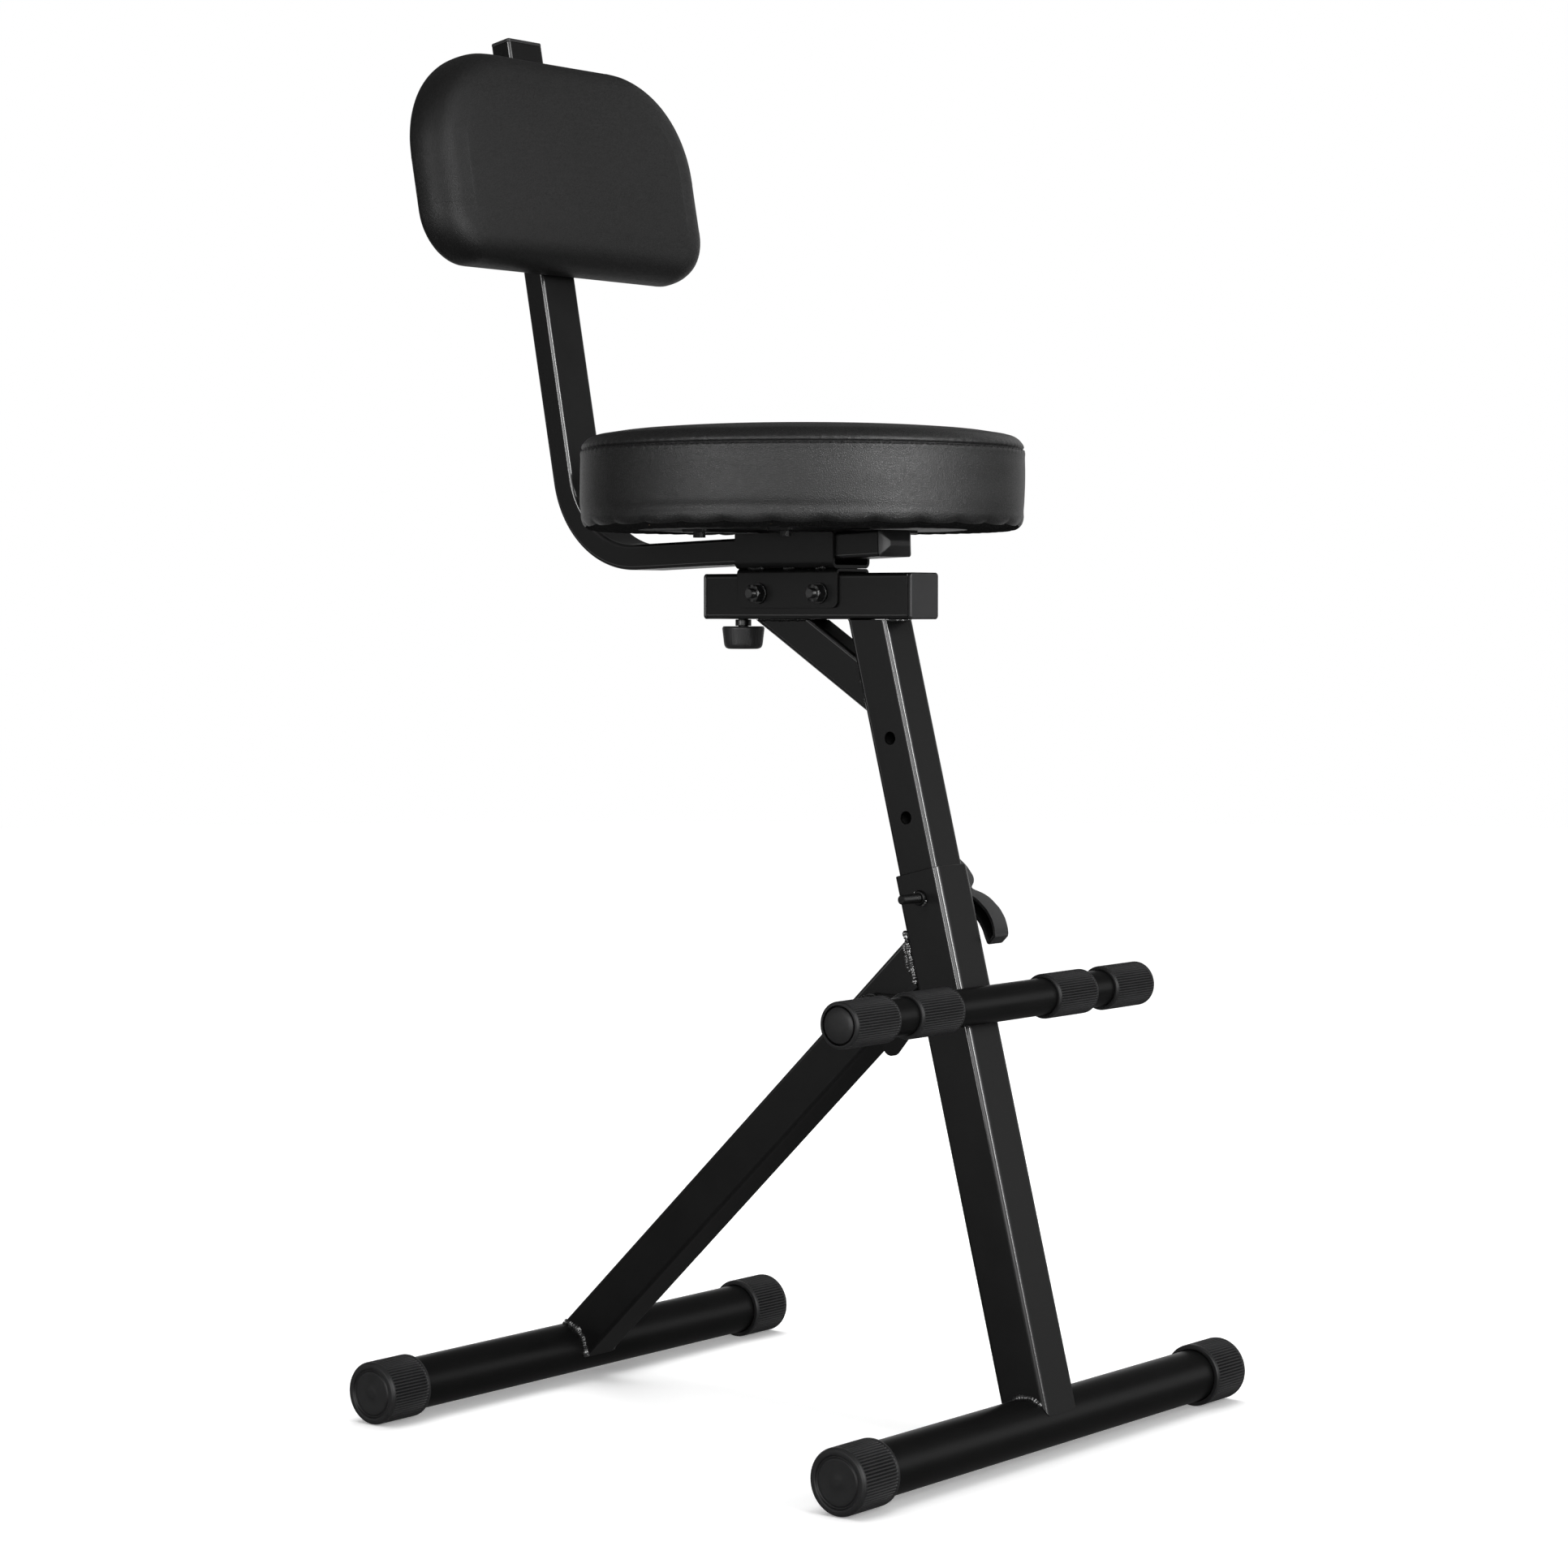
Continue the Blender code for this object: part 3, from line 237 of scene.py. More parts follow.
def make_powder_coat(name, roughness, gloss, peel_size, peel_depth, dark=0.0025, light=0.004):
    """Satin black with an orange peel of some size and depth. Gloss is the index of refraction, and the
    weight and roughness of the clear coat; marked corners add to that weight."""
    finish = Finish(name)
    cloud = finish.noise(0.03)
    corner = finish.node("Attribute", {"attribute_name": "corner"}, {}, "Fac")
    peel = finish.noise(peel_size, 3.0)
    return finish.done(
        base_color=finish.tint(cloud, (dark,) * 3, (light,) * 3),
        roughness=cloud * 0.08 + (roughness - 0.04),
        ior=gloss[0],
        coat_weight=corner * corner_shine + gloss[1], coat_roughness=gloss[2],
        normal=finish.bump(peel, peel_depth),
    )


powder_coat = make_powder_coat("powder_coat", 0.38, (1.22, 0.0, 0.09), 0.0011, 0.000004)
# The welds' black, up to 0.04, is lighter than the steel's: a painted highlight for their glints.
weld_coat = make_powder_coat("weld_coat", 0.30, (1.5, 1.0, 0.12), 0.0010, 0.00016, 0.006, 0.04)

# %% [markdown]
# ## Black zinc, rubber and nylon
# The bolts are steel with a thin black zinc layer, so they stay metallic and glint. The wood screws and the
# end of the height bolt get a darker copy of it with no metal in it: painted shade, as they lie in shade. The
# caps and grips are matt rubber with a little bloom in the light parts of the cloud pattern. The plugs and
# knobs are moulded nylon with the fine texture of a spark-eroded mould, which makes them look greyer than the
# steel.

# %% Black zinc, rubber and nylon
def make_zinc(name, dark, light, roughness, metallic, ior=1.5):
    """Zinc layer: a cloud goes from the dark to the light black and makes the light parts duller."""
    finish = Finish(name)
    cloud = finish.noise(0.002)
    return finish.done(
        base_color=finish.tint(cloud, (dark,) * 3, (light,) * 3),
        metallic=metallic,
        ior=ior,
        roughness=cloud * 0.16 + roughness,
        normal=finish.bump(finish.noise(0.0005), 0.00001),
    )


def make_moulded(name, dark, light, roughness, grain_size, grain_depth):
    """Rubber or nylon: a fine grain, and a slow change between two blacks."""
    finish = Finish(name)
    cloud = finish.noise(0.012, 4.0)
    grain = finish.noise(grain_size, 2.0)
    return finish.done(
        base_color=finish.tint(cloud, dark, light),
        roughness=cloud * 0.1 + (roughness - 0.05),
        ior=1.32,
        normal=finish.bump(grain, grain_depth),
    )


black_zinc = make_zinc("black_zinc", 0.008, 0.028, 0.24, 0.7)
# A darker copy of the zinc with no metal in it: painted shade for the screws and the bolt end.
oiled_zinc = make_zinc("oiled_zinc", 0.003, 0.008, 0.34, 0.0, 1.2)
rubber = make_moulded("rubber", (0.010, 0.010, 0.0105), (0.018, 0.018, 0.0185), 0.42, 0.0006, 0.00002)
nylon = make_moulded("nylon", (0.010, 0.010, 0.0105), (0.018, 0.018, 0.0185), 0.45, 0.0004, 0.00002)

# %% [markdown]
# ## Leatherette
# The covers are black artificial leather. Its grain is a net of pebbles: small domes with narrow valleys
# between them. The distance to the edge of a Voronoi cell is 0 in a valley and grows towards the middle of
# a pebble, so a smooth step of it makes domes. The seat has a coarse grain and the backrest a finer one. The
# valleys are darker and less shiny: dust gathers there, and their darker colour is also painted shade. The
# folds under the seat's rim get a copy of the leather without any sheen, painted shade for the shade they lie
# in.

# %% Leatherette
def make_leatherette(name, pebble, depth, roughness, light=0.007, gloss=1.25):
    """Pebbles of one size and depth; light is the colour of their tops, gloss the index of refraction."""
    finish = Finish(name)
    place = finish.place()
    sway = finish.node("TexNoise", {}, {"Vector": place, "Scale": 0.4 / pebble}, "Color")
    pushed = finish.node("VectorMath", {"operation": "MULTIPLY_ADD"},
                         {0: sway, 1: (pebble * 0.9,) * 3, 2: place})
    cells = finish.node("TexVoronoi", {"feature": "DISTANCE_TO_EDGE"},
                        {"Vector": pushed, "Scale": 1 / pebble})
    dome = cells.ramp(0.0, 0.32)
    patch = finish.noise(0.05)
    height = dome + finish.noise(pebble * 0.35) * 0.25
    return finish.done(
        # The valleys are darker: dust gathers there, and the darker colour is also painted shade.
        base_color=finish.tint(dome, (light * 0.35,) * 3, (light,) * 3),
        roughness=(1 - dome) * 0.10 + patch * 0.08 + (roughness - 0.05),
        ior=gloss,
        normal=finish.bump(height, depth),
    )


seat_leather = make_leatherette("seat_leatherette", 0.0014, 0.00012, 0.42, 0.007, 1.36)
pad_leather = make_leatherette("pad_leatherette", 0.0009, 0.00007, 0.45, 0.007, 1.26)
# A copy of the seat's leather with no sheen at all, painted shade for the folds under the rim.
shade_painted_leather = make_leatherette("folded_leatherette", 0.0012, 0.00010, 0.40, 0.010, 1.0)

# %% [markdown]
# ## Plywood and thread
# The boards inside the cushions are bare plywood, and from below a round of it shows. The veneer's grain is
# a cloud that is stretched along X, with thin darker lines where the growth rings come to the surface. The
# seam is sewn with a black polyester thread, a little glossier than the cover.

# %% Plywood and thread
def make_plywood():
    """Bare veneer: growth rings and fibres, three fifths and two fifths of the shade."""
    finish = Finish("plywood")
    place = finish.place()
    drawn = finish.node("Mapping", {}, {"Vector": place, "Scale": (0.06, 1.0, 1.0)})
    rings = finish.node("TexWave", {"bands_direction": "Y", "wave_profile": "SAW"},
                        {"Vector": drawn, "Scale": 9.0, "Distortion": 14.0, "Detail": 3.0,
                         "Detail Scale": 2.0}, "Fac")
    fibre = finish.noise(0.0012, 3.0, drawn)
    shade = rings * 0.6 + fibre * 0.4
    return finish.done(
        base_color=finish.tint(shade, (0.30, 0.18, 0.09), (0.52, 0.36, 0.20)),
        roughness=fibre * 0.2 + 0.6,
        normal=finish.bump(fibre, 0.00006),
    )


plywood = make_plywood()
thread = make_moulded("thread", (0.002, 0.002, 0.002), (0.004, 0.004, 0.004), 0.5, 0.0003, 0.00004)
finish_of_slot = {"powder_coat": powder_coat, "black_zinc": black_zinc, "rubber": rubber,
                  "nylon": nylon, "leatherette": seat_leather, "plywood": plywood}

# %% [markdown]
# ## Every part of the model gets its finish
# The record names a material slot for each part, so the finishes can be handed out in one loop. Parts that
# stay visible, such as the boards and the bracket behind the pad, are finished here for good.

# %% Hand out the finishes
slot_of_part = {part["node"]: part["material_slot"] for part in frame["record"]["subparts"]}
for part, thing in frame["nodes"].items():
    thing.data.materials.clear()
    # The screws get the zinc copy with painted shade.
    thing.data.materials.append(oiled_zinc if "screw" in part else finish_of_slot[slot_of_part[part]])
print("finished", len(slot_of_part), "parts")

# %% [markdown]
# ## Surfaces from grids of points
# Every new piece is made of patches. A patch is an array of points with rows and columns, and each four
# neighbours make a face. A patch may close on itself across its columns, as a tube does, and along its
# rows, as a ring does. An open end is closed by one flat face. Smooth shading with sharp edges where the
# surface turns by more than 35 degrees shows the small roundings as highlights.

# %% Patches and pieces
sharp_angle = 35


def patch_faces(rows, columns, wrap, ring, start=0):
    """Corner numbers of the faces between neighbouring rows and columns, and of the two end faces."""
    number = np.arange(rows * columns).reshape(rows, columns) + start
    across = np.roll(number, -1, 1) if wrap else number[:, 1:]
    here = number if wrap else number[:, :-1]
    low, high = (here, np.roll(here, -1, 0)) if ring else (here[:-1], here[1:])
    low_next, high_next = (across, np.roll(across, -1, 0)) if ring else (across[:-1], across[1:])
    faces = np.stack([low, low_next, high_next, high], -1).reshape(-1, 4).tolist()
    if wrap and not ring:
        faces += [number[0, ::-1].tolist(), number[-1].tolist()]
    return faces


def signed_volume(mesh):
    """Volume inside the mesh, negative when its faces point inwards: a sixth of the sum, over all
    triangles, of the box spanned by the three corners."""
    mesh.calc_loop_triangles()
    corners = np.empty(len(mesh.vertices) * 3)
    mesh.vertices.foreach_get("co", corners)
    number = np.empty(len(mesh.loop_triangles) * 3, np.int32)
    mesh.loop_triangles.foreach_get("vertices", number)
    a, b, c = corners.reshape(-1, 3)[number].reshape(-1, 3, 3).transpose(1, 0, 2)
    return float(np.einsum("ij,ij->i", a, np.cross(b, c)).sum() / 6)


def add_mesh(name, points, faces):
    """Object from an array of points and the corner numbers of its faces."""
    mesh = bpy.data.meshes.new(name)
    mesh.from_pydata(points.reshape(-1, 3).tolist(), [], faces)
    return add_object(name, mesh)


def add_closed(name, points, faces):
    """Object that is closed, with its faces turned outwards."""
    thing = add_mesh(name, points, faces)
    thing.data.validate()
    if signed_volume(thing.data) < 0:
        thing.data.flip_normals()
    return thing


def add_piece(name, patches, body, finish, stands_for=(), ring=False, sharp=sharp_angle):
    """Make an object from a list of (rows, columns, 3) arrays and let it ride on a body."""
    points, faces = [], []
    for patch in patches:
        faces += patch_faces(*patch.shape[:2], True, ring, sum(len(p) for p in points))
        points.append(patch.reshape(-1, 3))
    piece = add_closed(name, np.concatenate(points), faces)
    piece.data.shade_smooth()
    piece.data.set_sharp_from_angle(angle=math.radians(sharp))
    piece.data.materials.append(finish)
    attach(piece, body)
    if stands_for:
        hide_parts(*stands_for)
    print(f"{name}: {len(piece.data.polygons)} faces, rides on {body}")
    return piece


# %% [markdown]
# ## Places and sections
# Most parts are drawn in a frame of their own and then put in place. A leaning frame stands at a point of
# the middle plane, with its Z axis leaning back. A side frame points its Z axis to the left or right. The
# sections are closed rows of points: a circle, or a rectangle with round corners. The flats get points close
# to the corners, so that smooth shading leaves them flat.

# %% Places
def leaning(back, up, lean):
    """Frame at a point of the middle plane. Its Z axis leans back by an angle, and its Y axis is square to
    that and dips by the same angle."""
    cosine, sine = math.cos(lean), math.sin(lean)
    return np.array([0.0, back, up]), np.array([[1, 0, 0], [0, cosine, -sine], [0, sine, cosine]])


def sideways(back, up, side, across=0.0):
    """Frame at a point whose Z axis points to the sitter's left (side 1) or right (side -1)."""
    return np.array([across, back, up]), np.array([[0, 0, -side], [0, 1, 0], [side, 0, 0]], float)


def put(points, place):
    """Points of a frame, in the stool's frame: the frame's origin plus each coordinate times its axis."""
    origin, axes = place
    return np.asarray(points, float) @ axes + origin


# %% Sections and rings
def box_section(width, depth, radii, steps=8, shares=(0.015, 0.985)):
    """Points (x, y) round a rectangle: a quarter circle at each corner, counter-clockwise from the first
    quadrant, and between them the straight line from one circle's end to the next one's start."""
    radii = (radii,) * 4 if np.isscalar(radii) else radii
    turn = np.linspace(0, np.pi / 2, steps + 1)
    corners = []
    for quarter, (radius, right, up) in enumerate(zip(radii, (1, -1, -1, 1), (1, 1, -1, -1))):
        angle = turn + quarter * np.pi / 2
        middle = np.array([right * (width / 2 - radius), up * (depth / 2 - radius)])
        corners.append(middle + radius * np.stack([np.cos(angle), np.sin(angle)], 1))
    share = np.array(shares)[:, None]
    points = []
    for here, after in zip(corners, corners[1:] + corners[:1]):
        points += [here, here[-1] * (1 - share) + after[0] * share]
    return np.concatenate(points)


def circle(diameter, sides=72):
    """Points round a circle: half the diameter times the cosine and the sine of even angles."""
    angle = np.arange(sides) * 2 * np.pi / sides
    return np.stack([np.cos(angle), np.sin(angle)], 1) * diameter / 2


def ring_at(section, height):
    """Section lifted to a height: a number, or a function of x and y for an end that is cut to fit."""
    x, y = section.T
    lift = height(x, y) if callable(height) else np.full(len(section), height)
    return np.stack([x, y, lift], 1)


def hollow(outer, inner, low, high, edge=0.0004):
    """Rings of a hollow bar: up the outside, over the broken edge of the cut end, down the inside."""
    inset = outer * (1 - edge / np.abs(outer).max())
    shifted = [(outer, low, edge), (outer, high, -edge)]
    first, last = [ring_at(section, end) + (0, 0, shift) for section, end, shift in shifted]
    return np.stack([ring_at(inset, low), first, last, ring_at(inset, high),
                     ring_at(inner, high), ring_at(inner, low)])


def turned(outline, sides=72, wave=None):
    """Surface of revolution from (radius, height) pairs. A wave changes the radius by a function of the
    angle, times the weight that the third number of a pair gives."""
    outline = np.array([(*pair, 0)[:3] for pair in outline], float)
    angle = np.arange(sides) * 2 * np.pi / sides
    change = wave(angle) if wave else np.zeros(sides)
    radius = outline[:, :1] + outline[:, 2:] * change
    height = np.broadcast_to(outline[:, 1:2], radius.shape)
    return np.stack([radius * np.cos(angle), radius * np.sin(angle), height], -1)


def rounded(outline, radius, steps=4):
    """Outline whose inner corners are cut back by radius and bridged by a curve: at share t it is the
    start times (1-t)^2, the corner times 2t(1-t) and the end times t^2, summed."""
    points = [np.array((*pair, 0)[:3], float) for pair in outline]
    result = [points[0]]
    share = np.linspace(0, 1, steps + 1)[:, None]
    for before, corner, after in zip(points, points[1:], points[2:]):
        ends = []
        for other in (before, after):
            away = other - corner
            length = np.linalg.norm(away[:2])
            ends.append(corner + away * min(radius / max(length, 1e-9), 0.45))
        result += list(ends[0] * (1 - share) ** 2 + corner * 2 * share * (1 - share) + ends[1] * share ** 2)
    return result + [points[-1]]


# %% [markdown]
# ## Sizes and places of the stool
# These are the lengths of the model, measured once and shared by the pieces below. The legs stand in
# leaning frames whose origin is on the axis of a foot tube, so a height along a leg is a plain number.

# %% Sizes
foot_axis = 0.024
front_back = -0.256708
rear_back = front_back + 0.454
front_tilt = math.radians(14.3)
leg_width, leg_wall, leg_length = 0.040, 0.002, 0.415
rear_width = 0.035
weld_gap, slide_gap = 0.0003, 0.0005
foot_diameter, footrest_diameter = 0.040, 0.028
foot_spans = {"front": 0.496, "rear": 0.482}
bar_span, cap_floor, plug_dome = 0.381, 0.0048, 0.0027
bolt_drop, hole_pitch = 0.020, 0.061
seat_back = -0.032045
beam_underside, beam_width = 0.6139, 0.035
front_leg_place = leaning(front_back, foot_axis, front_tilt)
joint_point = put((0, 0, leg_length - 0.054), front_leg_place)
rear_tilt = -math.atan2(rear_back - joint_point[1], joint_point[2] - foot_axis)
rear_leg_place = leaning(rear_back, foot_axis, rear_tilt)
bolt_point = put((0, 0, leg_length - bolt_drop), front_leg_place)
bar_point = put((0, -(leg_width + footrest_diameter) / 2 - weld_gap, leg_length - 0.1078), front_leg_place)
rear_reach = float(np.linalg.norm(joint_point - rear_leg_place[0]))
plate_bolt = put((0, 0, rear_reach - 0.070), rear_leg_place)
print("leg top at", np.round(put((0, 0, leg_length), front_leg_place), 4))

# %% Cut ends
def on_plane(place, point, normal):
    """End of a tube on a plane, in the tube's frame: the height where the dot product with the plane's
    normal equals that of a point on the plane."""
    origin, axes = place
    facing = axes @ np.asarray(normal, float)
    spot = axes @ (np.asarray(point, float) - origin)
    return lambda x, y: (facing @ spot - facing[0] * x - facing[1] * y) / facing[2]


def on_round(diameter):
    """End of a tube that is cut to a round bar along X through its origin: the root of the radius squared
    less y squared."""
    return lambda x, y: np.sqrt(np.maximum((diameter / 2) ** 2 - y * y, 0))


side_shares = np.r_[0.015, np.linspace(0.08, 0.92, 12), 0.985]
dull_below, dull_span, dullest = 0.14, 0.3, 0.05


def mark_corners(piece, flat_points, arc_points=9):
    """Point attribute that is 1 on the round corners of a box tube and 0 on its flats. Near the floor shoes
    rub the skin dull: the mark is multiplied by the height above a level over a span, at least 0.05."""
    marks = np.tile(np.r_[np.ones(arc_points), np.zeros(flat_points)], 4)
    points = np.empty(len(piece.data.vertices) * 3, np.float32)
    piece.data.vertices.foreach_get("co", points)
    rubbed = np.clip((points[2::3] - dull_below) / dull_span, dullest, 1.0)
    values = (np.resize(marks, len(rubbed)) * rubbed).astype(np.float32)
    piece.data.attributes.new("corner", "FLOAT", "POINT").data.foreach_set("value", values)


def add_box_tube(name, place, width, depth, corner, low, high, body, wall=0.002):
    """Hollow box tube between two ends; returns the piece and its two outer end rings, in place."""
    outer = box_section(width, depth, corner, shares=side_shares)
    inner = box_section(width - 2 * wall, depth - 2 * wall, max(corner - wall, wall / 4), shares=side_shares)
    shape = put(hollow(outer, inner, low, high), place)
    piece = add_piece(name + "_steel", [shape], body, powder_coat, [name], ring=True)
    mark_corners(piece, len(side_shares))
    return piece, shape[0], shape[3]


# %% [markdown]
# ## Foot tubes and legs
# Two round tubes lie on the floor in their caps. The front leg is a box tube that leans back, cut at its foot
# to sit on the round tube and open at its top, where the post slides in. The rear leg runs from the rear
# foot up to the front leg's back and is welded there. The outer corners are the most visible thing on black
# steel: each one draws a bright line, so they are true quarter circles of the right radius.

# %% Foot tubes and footrest bar
for part, back, up, diameter, span in (
        ("front_foot_tube", front_back, foot_axis, foot_diameter, foot_spans["front"] - 2 * cap_floor),
        ("rear_foot_tube", rear_back, foot_axis, foot_diameter, foot_spans["rear"] - 2 * cap_floor),
        ("footrest_bar", bar_point[1], bar_point[2], footrest_diameter, bar_span - 2 * plug_dome)):
    section, bore = circle(diameter, 96), circle(diameter - 2 * leg_wall, 96)
    shape = hollow(section, bore, -span / 2, span / 2)
    add_piece(part + "_steel", [put(shape, sideways(back, up, 1))], "base", powder_coat,
              [part], ring=True)

# %% Legs
cope = on_round(foot_diameter + 2 * weld_gap)
_, front_foot_seam, _ = add_box_tube(
    "front_leg", front_leg_place, leg_width, leg_width, 0.0035, cope, leg_length, "base")
leg_back_face = put((0, leg_width / 2 + weld_gap, 0), front_leg_place)
leg_back_normal = front_leg_place[1][1]
_, rear_foot_seam, joint_seam = add_box_tube(
    "rear_leg", rear_leg_place, rear_width, rear_width, 0.003, cope,
    on_plane(rear_leg_place, leg_back_face, leg_back_normal), "base")

# %% [markdown]
# ## Post, beam and brace
# The post is a smaller box tube with a row of holes for the height bolt. A hole through a tube is easiest
# with a Boolean modifier: a round cutter is taken away from the tube, and the result is kept as a plain
# mesh. On top of the post sits the square beam, and a sloping brace of box tube stiffens the joint.

# %% Post with its holes
def drill_holes(piece, spots, diameter, reach, sides=32):
    """Take round bars along X away from a piece and keep the result."""
    for spot in spots:
        bar = put(np.stack([ring_at(circle(diameter, sides), end) for end in (-reach, reach)]),
                  sideways(spot[1], spot[2], 1))
        drill = add_closed("drill", bar, patch_faces(2, sides, True, False))
        cut = piece.modifiers.new("hole", "BOOLEAN")
        cut.operation, cut.solver, cut.object = "DIFFERENCE", "EXACT", drill
        bpy.context.view_layer.update()
        shape = piece.evaluated_get(bpy.context.evaluated_depsgraph_get())
        result = bpy.data.meshes.new_from_object(shape)
        piece.modifiers.clear()
        piece.data = result
        bpy.data.objects.remove(drill)
    piece.data.set_sharp_from_angle(angle=math.radians(sharp_angle))
    print(piece.name, "has", len(spots), "holes through it")


post_width = leg_width - 2 * (leg_wall + slide_gap)
post_low = leg_length - bolt_drop - 2 * hole_pitch - 0.040
beam_floor = on_plane(front_leg_place, (0, 0, beam_underside - weld_gap), (0, 0, 1))
post, _, post_seam = add_box_tube(
    "inner_post", front_leg_place, post_width, post_width, 0.003, post_low, beam_floor, "seat_post")
drill_holes(post, [put((0, 0, leg_length - bolt_drop + step * hole_pitch), front_leg_place)
                   for step in range(-2, 3)], 0.010, 0.03)

# %% Beam and brace
beam_front, beam_rear = seat_back - 0.113, seat_back + 0.0812
beam_middle = beam_underside + beam_width / 2
add_box_tube("seat_beam", leaning(beam_front, beam_middle, math.pi / 2), beam_width, beam_width, 0.003,
             0.0, beam_rear - beam_front, "seat_post")
brace_place = leaning(seat_back + 0.0105, beam_underside, -math.pi / 2 - math.radians(32.5))
post_back_face = put((0, post_width / 2 + weld_gap, 0), front_leg_place)
brace_width, brace_depth = 0.025, 0.030
_, brace_beam_seam, brace_post_seam = add_box_tube(
    "gusset_brace", brace_place, brace_width, brace_depth, 0.003,
    on_plane(brace_place, (0, 0, beam_underside - weld_gap), (0, 0, 1)),
    on_plane(brace_place, post_back_face, leg_back_normal), "seat_post")

# %% [markdown]
# ## Backrest tube
# One flat tube runs forward under the seat, bends up behind it and carries the pad. Its centre line is a
# straight run, an arc and a straight upright. The lean of the tube falls steadily along the arc, and a point
# of the arc is the centre of the bend plus the bend radius times the tube's own Y axis at that lean.

# %% Backrest tube
tube_width, tube_depth, bend_radius = 0.040, 0.020, 0.075
run_lean, upright_lean = math.pi / 2 + math.radians(2), math.radians(10.6)
corner_back, corner_up = 0.185355, 0.660206
run_length, upright_length = 0.3046, 0.4236


def along(lean, distance):
    """Step back and up: the distance times the sine and the cosine of the lean."""
    return np.array([math.sin(lean), math.cos(lean)]) * distance


def bent_tube(outer, steps=40):
    """Section carried along the run, the bend and the upright."""
    tangent = bend_radius * math.tan((run_lean - upright_lean) / 2)
    start = np.array([corner_back, corner_up]) + along(run_lean, -tangent)
    centre = start - bend_radius * np.array([math.cos(run_lean), -math.sin(run_lean)])
    leans = np.linspace(run_lean, upright_lean, steps)
    spots = [np.array([corner_back, corner_up]) + along(run_lean, -run_length)]
    spots += [centre + bend_radius * np.array([math.cos(lean), -math.sin(lean)]) for lean in leans]
    spots += [np.array([corner_back, corner_up]) + along(upright_lean, upright_length)]
    leans = [run_lean, *leans, upright_lean]
    flat = ring_at(outer, 0.0)
    return np.stack([put(flat, leaning(*spot, lean)) for spot, lean in zip(spots, leans)])


tube_wall = 0.0015
tube_out = bent_tube(box_section(tube_width, tube_depth, 0.0025))
tube_in = bent_tube(box_section(tube_width - 2 * tube_wall, tube_depth - 2 * tube_wall, 0.001))
backrest_tube = add_piece("backrest_tube_steel", [np.concatenate([tube_out, tube_in[::-1]])], "backrest",
                          powder_coat, ["backrest_tube"], ring=True)
mark_corners(backrest_tube, 2)
upright_place = leaning(corner_back, corner_up, upright_lean)
run_place = leaning(corner_back, corner_up, run_lean)

# %% [markdown]
# ## End plugs
# Nylon plugs close the tubes. The beam's plugs are plain squares with a broken edge. The plug at the front
# of the backrest tube is a low pyramid with a flat top, whose four slopes each take the light differently.
# A plug is a stack of sections, and its slight roundings come from extra rings close to each edge.

# %% End plugs
def stack(layers):
    """Rings from (section, height) pairs, one above the other."""
    return np.stack([ring_at(section, height) for section, height in layers])


def plug(width, depth, corner, layers):
    """Plug whose rings are the flange drawn in by an amount at a height."""
    return stack([(box_section(width - 2 * inset, depth - 2 * inset, max(corner - inset, 0.0006)), height)
                  for inset, height in layers])


flat_plug = [(0.003, -0.006), (0.003, 0.0003), (0.0002, 0.0004), (0, 0.0007), (0, 0.0026),
             (0.0003, 0.0030), (0.0008, 0.0033), (0.0016, 0.0033)]
for part, place in (("beam_front_plug", leaning(beam_front, beam_middle, -math.pi / 2)),
                    ("beam_rear_plug", leaning(beam_rear, beam_middle, math.pi / 2))):
    add_piece(part + "_nylon", [put(plug(beam_width, beam_width, 0.003, flat_plug), place)],
              "seat_post", nylon, [part])
front_plug = [(0.003, -0.006), (0.003, 0.0003), (0.0002, 0.0004), (0, 0.0006), (0, 0.0012),
              (0.0003, 0.0016), (0.0078, 0.0061), (0.0082, 0.0062), (0.0090, 0.0062)]
front_end = put((0, 0, -run_length), run_place)
top_end = put((0, 0, upright_length), upright_place)
for part, layers, end, lean in (("tube_front_plug", front_plug, front_end, run_lean - math.pi),
                                ("tube_top_plug", flat_plug, top_end, upright_lean)):
    shape = put(plug(tube_width, tube_depth, 0.0024, layers), leaning(end[1], end[2], lean))
    add_piece(part + "_nylon", [shape], "backrest", nylon, [part])

# %% [markdown]
# ## Ribbed rubber caps and grips
# The foot caps and the footrest grips are moulded rubber with ribs along their length. A rib is a rounded
# ridge between narrow grooves: the size of half a sine, raised to a small power, is flat on top and drops
# quickly to zero. The ribs fade out before the smooth bands at both ends, and the cap's end is a raised
# rim round a sunk disc.

# %% Ribs
def ribs(count, depth):
    """Change of radius round a ribbed part: minus the depth in a groove, zero on a rib."""
    return lambda angle: -depth * (1 - np.abs(np.sin(angle * count / 2)) ** 0.75)


cap_length = 0.042
foot_cap = rounded([
    (0.0203, 0.0375), (0.0203, 0.0), (0.0236, 0.0), (0.0240, 0.0014), (0.0240, 0.0032)], 0.0006)
foot_cap += [(0.0240, 0.0036, 0.4), (0.0240, 0.0042, 1), (0.0240, 0.0375, 1), (0.0240, 0.0382, 0.4),
             (0.0240, 0.0386)]
foot_cap += rounded([(0.0240, 0.0388), (0.0238, 0.0402), (0.0226, 0.0419), (0.0204, 0.0420), (0.0190, 0.0418),
                     (0.0184, 0.0402), (0.0172, 0.0400), (0.0166, 0.0409), (0.0150, 0.0410)], 0.0006)
foot_cap += [(0.0135, 0.0409), (0.008, 0.0409), (0.0040, 0.0409), (0.0036, 0.0410), (0.0012, 0.0410)]
foot_cap = [(0.001, 0.0375)] + foot_cap
for end, back in (("front", front_back), ("rear", rear_back)):
    for side, sign in (("left", 1), ("right", -1)):
        part = f"{end}_{side}_foot_cap"
        place = sideways(back, foot_axis, sign, sign * (foot_spans[end] / 2 - cap_length))
        add_piece(part + "_rubber", [put(turned(foot_cap, 480, ribs(60, 0.0012)), place)], "base", rubber,
                  [part], sharp=60)

